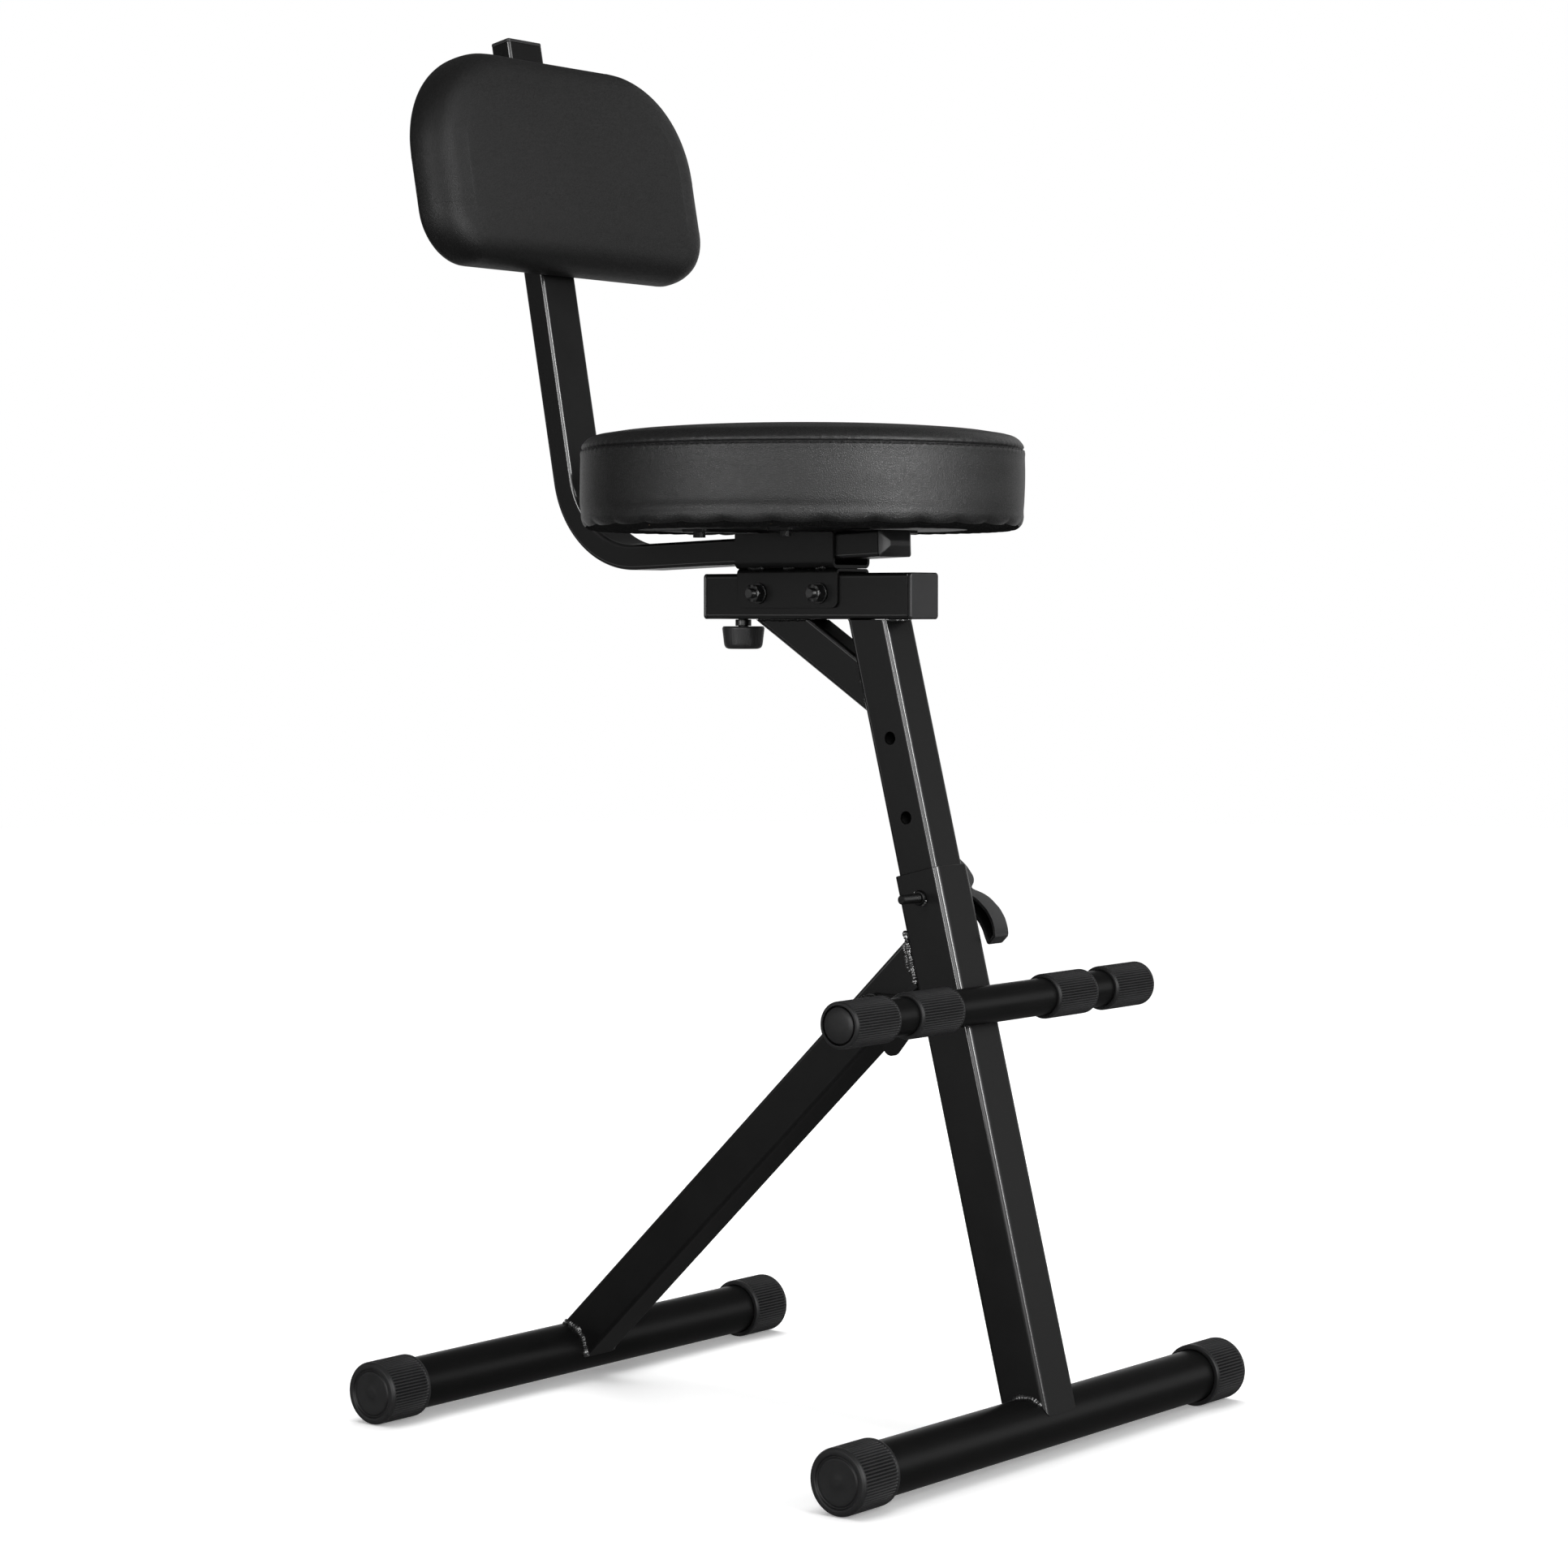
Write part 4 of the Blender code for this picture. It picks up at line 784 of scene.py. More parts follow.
# %% Grips
grip_length, grip_pitch = 0.0525, 0.0774
grip = rounded([(0.0143, 0.0), (0.0158, 0.0), (0.0169, 0.0009), (0.0170, 0.0022)], 0.0007)
grip += [(0.0170, 0.0026, 0.4), (0.0170, 0.0032, 1), (0.0170, 0.0493, 1), (0.0170, 0.0499, 0.4),
         (0.0170, 0.0503)]
grip += rounded([(0.0170, 0.0504), (0.0169, 0.0516), (0.0158, 0.0525), (0.0143, 0.0525)], 0.0007)
for side, sign in (("left", 1), ("right", -1)):
    for kind, inwards in (("outer", 0), ("inner", grip_pitch)):
        part = f"{side}_{kind}_grip"
        start = bar_span / 2 - grip_length - inwards
        place = sideways(bar_point[1], bar_point[2], sign, sign * start)
        add_piece(part + "_rubber", [put(turned(grip, 400, ribs(50, 0.0010)), place)], "base", rubber,
                  [part], ring=True, sharp=60)

# %% Domed plugs of the footrest bar
bar_plug = [(0.001, -0.010), (0.0116, -0.010), (0.0116, 0.0003)]
bar_plug += rounded([(0.0128, 0.0003), (0.0130, 0.0006), (0.0130, 0.0022), (0.0112, 0.0036)], 0.0006)
bar_plug += [(0.009, 0.0042), (0.006, 0.0046), (0.003, 0.0048), (0.0008, 0.0048)]
for side, sign in (("left", 1), ("right", -1)):
    place = sideways(bar_point[1], bar_point[2], sign, sign * (bar_span / 2 - 0.0024))
    add_piece(side + "_bar_plug_nylon", [put(turned(bar_plug, 64), place)], "base", nylon,
              [side + "_bar_plug"])

# %% [markdown]
# ## Saddle and cradle
# Two bent steel sheets sit between the beam and the seat. The saddle is an upside-down channel bolted over
# the beam; its cheeks have round corners. The cradle is a channel on top of it that guides the backrest
# tube. A channel is its U-shaped section carried along Y. Near each end the cheeks get shorter along a
# quarter circle, which rounds their corners without any cutting.

# %% Channels
def channel_loop(width, height, sheet, bend, steps=8):
    """Section (x, z) of a channel that opens upwards: the outer face and then the inner one, backwards."""
    turn = np.linspace(0, np.pi / 2, steps + 1)
    halves = []
    for inset in (0.0, sheet):
        radius, half = max(bend - inset, sheet / 4), width / 2 - inset
        corner = np.stack([half - radius + radius * np.sin(turn), inset + radius - radius * np.cos(turn)], 1)
        right = np.concatenate([corner, [[half, height / 2], [half, height]]])
        halves.append(np.concatenate([right[::-1] * (-1, 1), [[0, inset]], right])[::-1])
    return np.concatenate([halves[0], halves[1][::-1]])


def channel(width, height, sheet, bend, length, corner):
    """Channel section carried along Y; each cheek's top is lowered near the ends by the corner radius less
    the root of its square minus the square of the distance left."""
    loop = channel_loop(width, height, sheet, bend)
    turn = np.linspace(0, np.pi / 2, 9)
    depth = corner * (1 - np.cos(turn))
    back = np.r_[-length / 2 + depth, length / 2 - depth[::-1]]
    drop = corner - np.sqrt(np.maximum(corner ** 2 - (corner - np.r_[depth, depth[::-1]]) ** 2, 0))
    top = loop[:, 1] > height * 0.99
    height_now = loop[None, :, 1] - np.where(top, drop[:, None], 0)
    width_now = np.broadcast_to(loop[None, :, 0], height_now.shape)
    return np.stack([width_now, np.broadcast_to(back[:, None], height_now.shape), height_now], -1)


def soften(piece, width, segments=2):
    """Break the sharp edges of a piece with a narrow bevel."""
    bevel = piece.modifiers.new("broken_edges", "BEVEL")
    bevel.width, bevel.segments, bevel.limit_method = width, segments, "ANGLE"
    bevel.angle_limit = math.radians(40)
    bevel.harden_normals = True
    return piece


saddle_sheet, cradle_sheet, bar_base = 0.0022, 0.0025, 0.68002
saddle_top = beam_underside + beam_width + weld_gap + 0.003
cradle_base = saddle_top + weld_gap
saddle = channel(beam_width + 2 * (weld_gap + saddle_sheet), 0.0297, saddle_sheet, 0.0035, 0.0973, 0.005)
flipped = (np.array([0, seat_back, saddle_top]), np.diag([1.0, -1.0, -1.0]))
soften(add_piece("saddle_bracket_steel", [put(saddle, flipped)], "seat_post", powder_coat,
                 ["saddle_bracket"]), 0.0004)
cradle = channel(tube_width + 2 * (slide_gap + cradle_sheet), bar_base - weld_gap - cradle_base,
                 cradle_sheet, 0.005, 0.0955, 0.0015)
upright_frame = (np.array([0, seat_back + 0.0007, cradle_base]), np.eye(3))
soften(add_piece("cradle_bracket_steel", [put(cradle, upright_frame)], "seat_post", powder_coat,
                 ["cradle_bracket"]), 0.0004)

# %% Seat bars
for end, back in (("front", seat_back - 0.040), ("rear", seat_back + 0.043)):
    outline = [(0.0004, 0), (0, 0.0004), (0, 0.0026), (0.0004, 0.003)]
    shape = plug(0.160, 0.024, 0.003, outline) + (0, back, bar_base)
    add_piece(end + "_seat_bar_steel", [shape], "seat_post", powder_coat, [end + "_seat_bar"])

# %% [markdown]
# ## Bolts, nuts and threads
# The bolts are M8. A thread is a groove that climbs as it goes round: the radius depends on the height less
# the angle times the pitch. A hexagon's outline is the distance to its flats, and the chamfer of a nut is the
# smaller of that distance and a cone, which leaves the curved edges that real nuts have.

# %% Threads and hexagons
def threaded(diameter, low, high, pitch=0.00125, depth=0.00055, sides=28, start=0.0):
    """Bolt end from low to high: the radius less the depth times the distance from the thread's crest,
    and a cone at the tip."""
    height = np.arange(low, high, pitch / 6)[:, None]
    angle = np.arange(sides)[None] * 2 * np.pi / sides
    phase = (height / pitch - angle / (2 * np.pi)) % 1
    radius = diameter / 2 - depth * (1 - np.abs(2 * phase - 1) ** 0.8) * (height > start)
    radius = np.minimum(radius, diameter / 2 - 0.0009 + (high - height) * 0.9)
    height = np.broadcast_to(height, radius.shape)
    return np.stack([radius * np.cos(angle), radius * np.sin(angle), height], -1)


def hexagon(across, low, high, sides=72, dome=False):
    """Hexagon nut or head: at each height the radius is the smaller of the distance to the flats, half the
    width over the cosine of the angle from the nearest flat's middle, and a 30 degree cone at its ends."""
    angle = np.arange(sides) * 2 * np.pi / sides
    flat = across / 2 / np.cos((angle + np.pi / 6) % (np.pi / 3) - np.pi / 6)
    share = np.array([0, 0.04, 0.1, 0.16, 0.84, 0.9, 0.96, 1])[:, None]
    height = low + (high - low) * share
    reach = 1.7 * np.minimum(height - low if not dome else 1, high - height)
    radius = np.minimum(flat, across / 2 * 0.985 + reach)
    shape = np.stack([radius * np.cos(angle), radius * np.sin(angle),
                      np.broadcast_to(height, radius.shape)], -1)
    return np.concatenate([shape[:1] * (0.3, 0.3, 1), shape, shape[-1:] * (0.6, 0.6, 1)])


def washer(diameter, low, high, bore=0.006):
    """Flat disc with softened edges, turned from a rectangle between the bore and the rim."""
    inner, outer = bore / 2, diameter / 2
    return turned(rounded([(inner, low), (outer, low), (outer, high), (inner, high)], 0.0003, 3))


def add_metal(name, shapes, place, body, stands_for, finish=black_zinc):
    """Piece of zinc-plated steel from shapes that share one frame."""
    return add_piece(name, [put(shape, place) for shape in shapes], body, finish,
                     stands_for, sharp=40)


# %% Through bolts of the saddle and the footrest
bolt_diameter = 0.008


def add_through_bolt(name, body, back, up, reach):
    """Hexagon head on the left, nut on its washer face and a bit of thread on the right."""
    face = reach + weld_gap
    nut_low, nut_top = face + 0.0016, face + 0.0081
    left, right = sideways(back, up, 1), sideways(back, up, -1)
    add_metal(name + "_head", [hexagon(0.013, face, face + 0.0053, dome=True),
                               turned([(0.001, 0), (0.004, 0), (0.004, face), (0.001, face)], 24)],
              left, body, [])
    add_metal(name + "_thread", [threaded(bolt_diameter, 0.0, nut_top + 0.0045, start=face - 0.002)],
              right, body, [name + "_bolt"])
    add_metal(name + "_hexagon", [washer(0.016, face, nut_low), hexagon(0.013, nut_low, nut_top)],
              right, body, [name + "_nut"])


bolt_up = beam_underside + beam_width - 0.0153
plate_sheet = 0.003
for end, sign in (("rear", 1), ("front", -1)):
    add_through_bolt("saddle_" + end, "seat_post", seat_back - 0.0024 + sign * 0.0294, bolt_up,
                     beam_width / 2 + weld_gap + saddle_sheet)
add_through_bolt("footrest", "base", plate_bolt[1], plate_bolt[2], leg_width / 2 + weld_gap + plate_sheet)

# %% Height bolt's free end and its weld nut
end_place = sideways(bolt_point[1], bolt_point[2], -1)
end_shape = threaded(0.0072, post_width / 2 + weld_gap, 0.044, depth=0.0004)
# The bolt end gets the zinc copy with painted shade.
add_metal("height_bolt_end_thread", [end_shape], end_place, "height_bolt", ["height_bolt_end"], oiled_zinc)
nut_low = leg_width / 2 + weld_gap
weld_nut = turned(rounded([(0.0038, nut_low), (0.0060, nut_low), (0.0054, nut_low + 0.0028),
                           (0.0038, nut_low + 0.0028)], 0.0007), 48)
add_piece("height_weld_nut_steel", [put(weld_nut, end_place)], "base", powder_coat,
          ["height_weld_nut"], ring=True)

# %% [markdown]
# ## T-handle
# The height bolt is turned by a moulded T-handle on the sitter's left. Its two arms bow towards the leg and
# taper to their ends, and they are hollow on the side of the leg, as plastic handles are, to save material.
# The arm's section is a U that is carried along the bow. Near the tips the hollow gets shallow, so the ends
# are closed.

# %% T-handle
handle_reach, handle_top, handle_depth = 0.047, 0.0357, 0.0182
handle_width, tip_narrowing, handle_wall, handle_edge = 0.0124, 0.0030, 0.0022, 0.0005
bow_out = np.array([0, 0.1, 0.23, 0.47, 0.67, 0.9, 1])
bow_height = np.array([0.5, 0.8, 0.95, 1, 0.925, 0.74, 0.64])


def u_section(width, depth, wall, radius, hollow_depth, steps=6):
    """U with its back on top at height 0: the outside from the right foot over the back to the left foot,
    then the hollow from the left foot back to the right."""
    turn = np.linspace(0, np.pi / 2, steps + 1)
    halves = []
    for inset in (0.0, wall):
        half, top = width / 2 - inset, (0.0 if inset == 0 else -depth + hollow_depth)
        round_now = min(max(radius - inset, 0.0004), max((top + depth) * 0.45, 0.0001))
        corner = np.stack([half - round_now + round_now * np.cos(turn),
                           top - round_now + round_now * np.sin(turn)], 1)
        right = np.concatenate([[[half, -depth]], corner])
        halves.append(np.concatenate([right, [[0, top]], right[::-1] * (-1, 1)]))
    return np.concatenate([halves[0], halves[1][::-1]])


def handle_rings(steps=60):
    """The U carried along the bow. Its back follows the bow's curve, and its width narrows with a power of
    the distance from 0.72 of the reach. The hollow gets shallow at the tips, and the edges end there in
    quarter circles."""
    share = np.linspace(-1, 1, steps)
    top = handle_top * np.interp(np.abs(share), bow_out, bow_height)
    top = np.convolve(np.pad(top, 2, "edge"), [0.1, 0.2, 0.4, 0.2, 0.1], "valid")
    width = handle_width - tip_narrowing * np.clip((np.abs(share) - 0.72) / 0.28, 0, 1) ** 2.5
    hole = np.clip((1 - np.abs(share)) * handle_reach - 0.0018, 0.0001, handle_depth - 0.0024)
    edge = np.clip((1 - np.abs(share)) * handle_reach, 0, handle_edge)
    rings = []
    for out, high, wide, deep, soft in zip(share * handle_reach, top, width, hole, edge):
        drawn = handle_edge - math.sqrt(max(handle_edge ** 2 - (handle_edge - soft) ** 2, 0))
        loop = u_section(wide - 2 * drawn, handle_depth - 2 * drawn, handle_wall, wide * 0.14, deep)
        rings.append(np.stack([np.full(len(loop), out), loop[:, 0], loop[:, 1] + high - drawn], 1))
    return np.stack(rings)


handle_turn = -math.pi / 4
cosine, sine = math.cos(handle_turn), math.sin(handle_turn)
twist = np.array([[cosine, sine, 0], [-sine, cosine, 0], [0, 0, 1]])
hub_face = leg_width / 2 + weld_gap
handle_place = sideways(bolt_point[1], bolt_point[2], 1, hub_face)
hub = turned(rounded([(0.0044, 0.014), (0.0044, 0), (0.007, 0), (0.007, handle_top * 0.5),
                      (0.0008, handle_top * 0.55)], 0.0005), 48)
add_piece("t_handle_nylon", [put(handle_rings() @ twist, handle_place), put(hub @ twist, handle_place)],
          "height_bolt", nylon, ["t_handle"], sharp=50)

# %% [markdown]
# ## Clamp knobs
# A round knob under the beam clamps the backrest tube from below, and the same knob behind the pad clamps
# the pad's bracket on the upright. Fine flutes on the rim give the fingers grip. Both turn on an M8 stud in
# a nut that is welded to the steel.

# %% Knobs, studs and nuts
clamp_nut_height = 0.005
knob_outline = [(0.0044, -0.0100), (0.0044, -0.0002)]
knob_outline += rounded([(0.0046, 0), (0.0157, 0), (0.0165, -0.0016, 0.6), (0.0163, -0.0030, 1)], 0.0006)
knob_outline += rounded([(0.0152, -0.0125, 1), (0.0149, -0.0146, 0.7), (0.0139, -0.0166, 0.2),
                         (0.0115, -0.0176), (0.006, -0.0176), (0.0008, -0.0174)], 0.0012)
knob_outline = [(*pair, 0)[:3] for pair in knob_outline]


def add_knob(part, nut_part, place, body, nut_body, gap, reach):
    """Knob below a welded nut, with the stud through both; the frame's Z axis points at the tube."""
    top = -weld_gap - clamp_nut_height - gap
    head = turned(knob_outline, 240, ribs(40, 0.0001)) + (0, 0, top)
    add_piece(part + "_knob_nylon", [put(head, place)], body, nylon, [part + "_knob"], sharp=60)
    stud = threaded(bolt_diameter, top - 0.0095, reach)
    add_metal(part + "_stud_thread", [stud], place, body, [part + "_stud"])
    nut = turned(rounded([(0.0044, -weld_gap), (0.00625, -weld_gap), (0.00625, top + gap),
                          (0.0044, top + gap)], 0.0006), 48)
    add_piece(nut_part + "_steel", [put(nut, place)], nut_body, black_zinc, [nut_part],
              ring=True)


depth_place = leaning(seat_back + 0.0585, beam_underside, 0.0)
depth_knob_top, depth_stud_top = (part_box(part)[1][2] for part in ("depth_knob", "depth_stud"))
depth_gap = beam_underside - depth_knob_top - weld_gap - clamp_nut_height
add_knob("depth", "depth_weld_nut", depth_place, "depth_clamp", "seat_post", depth_gap,
         depth_stud_top - beam_underside)
pad_middle = 0.3158
clamp_point = put((0, 0.0125, pad_middle), upright_place)
pad_clamp_place = leaning(clamp_point[1], clamp_point[2], upright_lean - math.pi / 2)
add_knob("pad", "pad_weld_nut", pad_clamp_place, "pad_clamp", "pad", weld_gap, 0.0020)

# %% [markdown]
# ## Cushions
# A cover is sewn a little tight over its foam, so every panel bulges between the lines that hold it. The
# cloth simulation finds that shape: the sewn lines and the underside are held, and a gentle pressure fills
# the cover. Foam takes no small creases, so the movement is evened out and limited. The simulation runs on a
# coarse grid. Its points are then read back as rows and columns and a finer grid is drawn through them with
# smooth curves, so the seam, the gathers and the stitches can be added exactly where they belong.

# %% Cloth on a grid
def puffed(name, grid, held, pressure, cap, frames=20, passes=12):
    """Fill a closed grid with air for some frames; held is how firmly each row is held, from 0 to 1. No
    point moves further than the cap. In each pass along the columns and the rows, a point's movement becomes
    half its own plus a quarter of each neighbour's."""
    rows, columns = grid.shape[:2]
    cover = add_closed(name, grid, patch_faces(rows, columns, True, False))
    group = cover.vertex_groups.new(name="held")
    for row, weight in enumerate(held):
        group.add(list(range(row * columns, (row + 1) * columns)), float(weight), "REPLACE")
    cloth = cover.modifiers.new("cover", "CLOTH")
    settings = cloth.settings
    settings.vertex_group_mass = "held"
    settings.use_pressure = True
    settings.uniform_pressure_force = pressure
    settings.effector_weights.gravity = 0
    settings.tension_stiffness = settings.compression_stiffness = 12
    settings.quality = 5
    cloth.collision_settings.use_collision = False
    cloth.point_cache.frame_start, cloth.point_cache.frame_end = 1, frames
    for number in range(1, frames + 1):
        bpy.context.scene.frame_set(number)
    shape = cover.evaluated_get(bpy.context.evaluated_depsgraph_get()).data
    moved = np.empty(rows * columns * 3)
    shape.vertices.foreach_get("co", moved)
    shift = moved.reshape(grid.shape) - grid
    length = np.linalg.norm(shift, axis=-1, keepdims=True)
    print(f"{name}: the cloth moved by up to {length.max() * 1000:.1f} mm")
    shift = shift * np.minimum(1, cap / np.maximum(length, 1e-9))
    loose = 1 - np.asarray(held, float).reshape(-1, 1, 1)
    for _ in range(passes):
        shift = (np.roll(shift, 1, 1) + 2 * shift + np.roll(shift, -1, 1)) / 4
        padded = np.concatenate([shift[:1], shift, shift[-1:]])
        shift = (padded[:-2] + 2 * shift + padded[2:]) / 4
    bpy.data.objects.remove(cover)
    bpy.context.scene.frame_set(1)
    return grid + shift * loose


def sampled(grid, where, closed=False):
    """Smooth curves through the rows of a grid, read at row numbers that need not be whole. Between rows b
    and c, with a before and d after, the curve leaves b along c - a and reaches c along d - b."""
    count = len(grid)
    base = np.floor(where).astype(int) if closed else np.clip(np.floor(where).astype(int), 0, count - 2)
    share = (where - base).reshape(-1, *(1,) * (grid.ndim - 1))
    a, b, c, d = (grid[(base + k) % count] if closed else grid[np.clip(base + k, 0, count - 1)]
                  for k in (-1, 0, 1, 2))
    slope = c - a + share * (2 * a - 5 * b + 4 * c - d + share * (3 * b - a - 3 * c + d))
    return b + share / 2 * slope


def normals_of(grid):
    """Unit normals of a grid that closes across its columns: the cross product of its two slopes."""
    across = np.roll(grid, -1, 1) - np.roll(grid, 1, 1)
    along_rows = np.gradient(grid, axis=0)
    normal = np.cross(across, along_rows)
    return normal / np.maximum(np.linalg.norm(normal, axis=-1, keepdims=True), 1e-12)


def facing_out(grid, row):
    """Unit normals of a grid, all turned by the sign that makes one row's point away from its middle."""
    normal = normals_of(grid)
    return normal * np.sign((normal[row] * (grid[row] - grid[row].mean(0))).sum())


# %% [markdown]
# ## Seat
# The seat is a drum: a low crown on top, a band of about 60 mm, and between them a seam about 10 mm below the
# edge. Under the rim the cover is drawn in over the board and stapled, which gathers it into small folds.
# The profile is a list of radius and height pairs, each row of the grid is one pair, and all heights are
# above the board's underside.

# %% Seat profile
seam_height, board_base = 0.0595, 0.68332
profile = np.array(rounded([
    (0.126, -0.0012), (0.150, -0.0016), (0.1645, -0.0014), (0.1692, 0.0040), (0.1700, 0.020),
    (0.1702, 0.045), (0.1698, seam_height), (0.1668, 0.0672), (0.1600, 0.0703), (0.140, 0.0730),
    (0.110, 0.0752), (0.075, 0.0768), (0.040, 0.0778), (0.004, 0.0780)], 0.004, 3))
reach = np.r_[0, np.cumsum(np.linalg.norm(np.diff(profile, axis=0), axis=1))]
coarse_rows = np.linspace(0, reach[-1], 52)
coarse = np.stack([np.interp(coarse_rows, reach, profile[:, k]) for k in (0, 1)], 1)
band = profile[:, 0] > 0.165
seam_reach = float(np.interp(seam_height, profile[band, 1], reach[band]))
rim_reach = float(np.interp(0.001, profile[2:14, 1], reach[2:14]))
seat_columns = 144
seat_start = turned(coarse, seat_columns) + (0, seat_back, board_base)
held_rows = np.exp(-((coarse_rows - seam_reach) / 0.004) ** 2) * 0.9
held_rows = np.maximum(held_rows, coarse_rows < rim_reach + 0.004)
seat_grid = puffed("seat_cover", seat_start, held_rows, 3.0, 0.0006)
print(f"seam {seam_reach * 1000:.0f} mm and rim {rim_reach * 1000:.0f} mm along the profile")

# %% Folds
def folds(angle, count, seed, spread=0.5):
    """Uneven folds round a rim, from 0 in a fold to 1 on a ridge: the size of a sine whose angle is
    pushed back and forth by slower sines."""
    random = np.random.default_rng(seed)
    push = sum(random.normal(0, spread / k) * np.sin(k * angle + random.uniform(0, 6.28))
               for k in (2, 3, 5, 7))
    return np.abs(np.sin((angle + push / count * 4) * count / 2)) ** 0.7


# %% [markdown]
# ## Seam, gathers and slack
# Each detail of the cover is a height that is added along the surface's normal. A bell curve of the distance
# from the seam or the rim says where it is. The seam has a groove with a lip on both sides, and small
# puckers between the stitches. Below the rim are the gathers and scallops, and above it the cover is a
# little slack and tucked.

# %% Seat cover with seam, gathers and slack
close_rows = np.r_[np.linspace(0, rim_reach + 0.012, 44),
                   np.linspace(rim_reach + 0.0135, seam_reach - 0.006, 26),
                   np.linspace(seam_reach - 0.0052, seam_reach + 0.0052, 27),
                   np.linspace(seam_reach + 0.0062, seam_reach + 0.03, 14),
                   np.linspace(seam_reach + 0.034, reach[-1], 26)]
row_number = np.interp(close_rows, coarse_rows, np.arange(len(coarse_rows)))
seat = sampled(seat_grid, row_number)
fine_columns, band_row, stitch_count = 576, 60, 237
column_number = np.arange(fine_columns) * seat_columns / fine_columns
seat = sampled(seat.swapaxes(0, 1), column_number, closed=True).swapaxes(0, 1)
angle = column_number * 2 * np.pi / seat_columns
from_seam = (close_rows - seam_reach)[:, None]
from_rim = (close_rows - rim_reach)[:, None]
groove = -0.0016 * np.exp(-(from_seam / 0.0010) ** 2)
lips = 0.0003 * np.exp(-((np.abs(from_seam) - 0.0032) / 0.0018) ** 2)
pucker = 0.00022 * np.sin(angle * stitch_count / 2) * np.exp(-(from_seam / 0.004) ** 2)
under = np.clip(-from_rim / 0.012, 0, 1)
gathers = 0.0032 * under * (folds(angle, 62, 4) - 0.75) * np.clip((from_rim + 0.045) / 0.02, 0, 1)
scallops = -0.0022 * np.exp(-((from_rim + 0.001) / 0.005) ** 2) * (1 - folds(angle, 29, 7))
slack = sum(0.00040 / k * np.sin(angle * n + p) * np.exp(-((from_rim - at) / 0.010) ** 2)
            for k, n, p, at in ((1, 3, 0.6, 0.016), (1.4, 5, 2.1, 0.022), (1.2, 4, 4.0, 0.034)))
tuck = -0.0010 * np.exp(-((from_rim - 0.0125) / 0.0035) ** 2) * (0.5 + 0.5 * np.sin(angle * 2 + 1.4))
offset = groove + lips + pucker + gathers + scallops + slack + tuck
seat = seat + facing_out(seat, band_row) * offset[..., None]
seat_piece = add_piece("seat_cushion_cover", [seat], "seat_post", seat_leather,
                       ["seat_cushion"], sharp=80)
# The faces under the rim get that copy without sheen: painted shade where the seat's rim shades them.
seat_piece.data.materials.append(shade_painted_leather)
folded_rows = int(np.searchsorted(close_rows, rim_reach - 0.001))
face_finish = np.zeros(len(seat_piece.data.polygons), np.int32)
face_finish[:folded_rows * fine_columns] = 1
seat_piece.data.polygons.foreach_set("material_index", face_finish)

# %% [markdown]
# ## Stitches
# Just below the seam runs a row of short stitches, one every 4.5 mm. Each stitch is the same small capsule.
# The capsules are made all at once: a template of points times the three directions of the surface at each
# stitch, which numpy works out as one array.

# %% Seat stitches
def stitched(grid, row, columns, length, thickness):
    """Capsules along one row of a grid, at column numbers, half sunk into the surface."""
    along_row = sampled(grid[row], columns, closed=True)
    ahead = sampled(grid[row], columns + 0.4, closed=True) - along_row
    ahead /= np.linalg.norm(ahead, axis=1, keepdims=True)
    out = sampled(facing_out(grid, band_row)[row], columns, closed=True)
    down = np.cross(ahead, out)
    share = np.array([-1, -0.85, -0.4, 0.4, 0.85, 1])
    swell = np.array([0.15, 0.75, 1, 1, 0.75, 0.15])
    turn = np.arange(6) * np.pi / 3
    length_part = share[:, None] * length / 2 + turn * 0
    down_part = swell[:, None] * np.cos(turn) * thickness / 2
    out_part = swell[:, None] * np.sin(turn) * thickness / 2
    shape = sum(part[None, ..., None] * axis[:, None, None] for part, axis in
                ((length_part, ahead), (down_part, down), (out_part, out)))
    return shape + along_row[:, None, None]


seam_row = int(np.argmin(np.abs(close_rows - seam_reach + 0.0014)))
stitch_columns = (np.arange(stitch_count) + 0.5) * fine_columns / stitch_count
stitches = stitched(seat, seam_row, stitch_columns, 0.0032, 0.0009)
add_piece("seat_stitches", list(stitches), "seat_post", thread, sharp=80)

# %% [markdown]
# ## Backrest pad
# Seen from the front the pad is a rectangle with large round corners at the top and smaller ones below. Its
# cover rolls from the back over a narrow band into a soft edge and a nearly flat face. Each row of the grid
# is the outline drawn in by some inset, at some distance ahead of the upright; towards the middle the
# outline simply shrinks. The face swells forward by a crown: one less the square of the share across, times
# one less the square of the share up.

# %% Pad cover
pad_width, pad_height, board_back = 0.316, 0.1735, 0.0105
pad_corners, crown_height = (0.088, 0.088, 0.042, 0.042), 0.0065
pad_shares = np.linspace(0.03, 0.97, 9)
pad_profile = np.array(rounded([
    (0.022, -0.0012), (0.010, -0.0012), (0.0032, 0.0002), (0.0004, 0.0045), (0.0, 0.012), (0.0004, 0.0185),
    (0.0030, 0.0262), (0.0085, 0.0312), (0.0160, 0.0336), (0.0330, 0.0340)], 0.004, 4))
pad_reach = np.r_[0, np.cumsum(np.linalg.norm(np.diff(pad_profile, axis=0), axis=1))]
pad_rows = np.linspace(0, pad_reach[-1], 20)
pad_start = []
for row in pad_rows:
    inset, ahead = (np.interp(row, pad_reach, pad_profile[:, k]) for k in (0, 1))
    section = box_section(pad_width - 2 * inset, pad_height - 2 * inset,
                          [max(corner - inset, 0.008) for corner in pad_corners], 10, pad_shares)
    pad_start.append(np.stack([section[:, 0], np.full(len(section), -board_back - ahead), section[:, 1]], 1))
rim = pad_start[-1]
pad_shrinks = (0.86, 0.72, 0.58, 0.44, 0.3, 0.17, 0.06)
pad_start = np.stack(pad_start + [rim * (share, 1, share) for share in pad_shrinks])
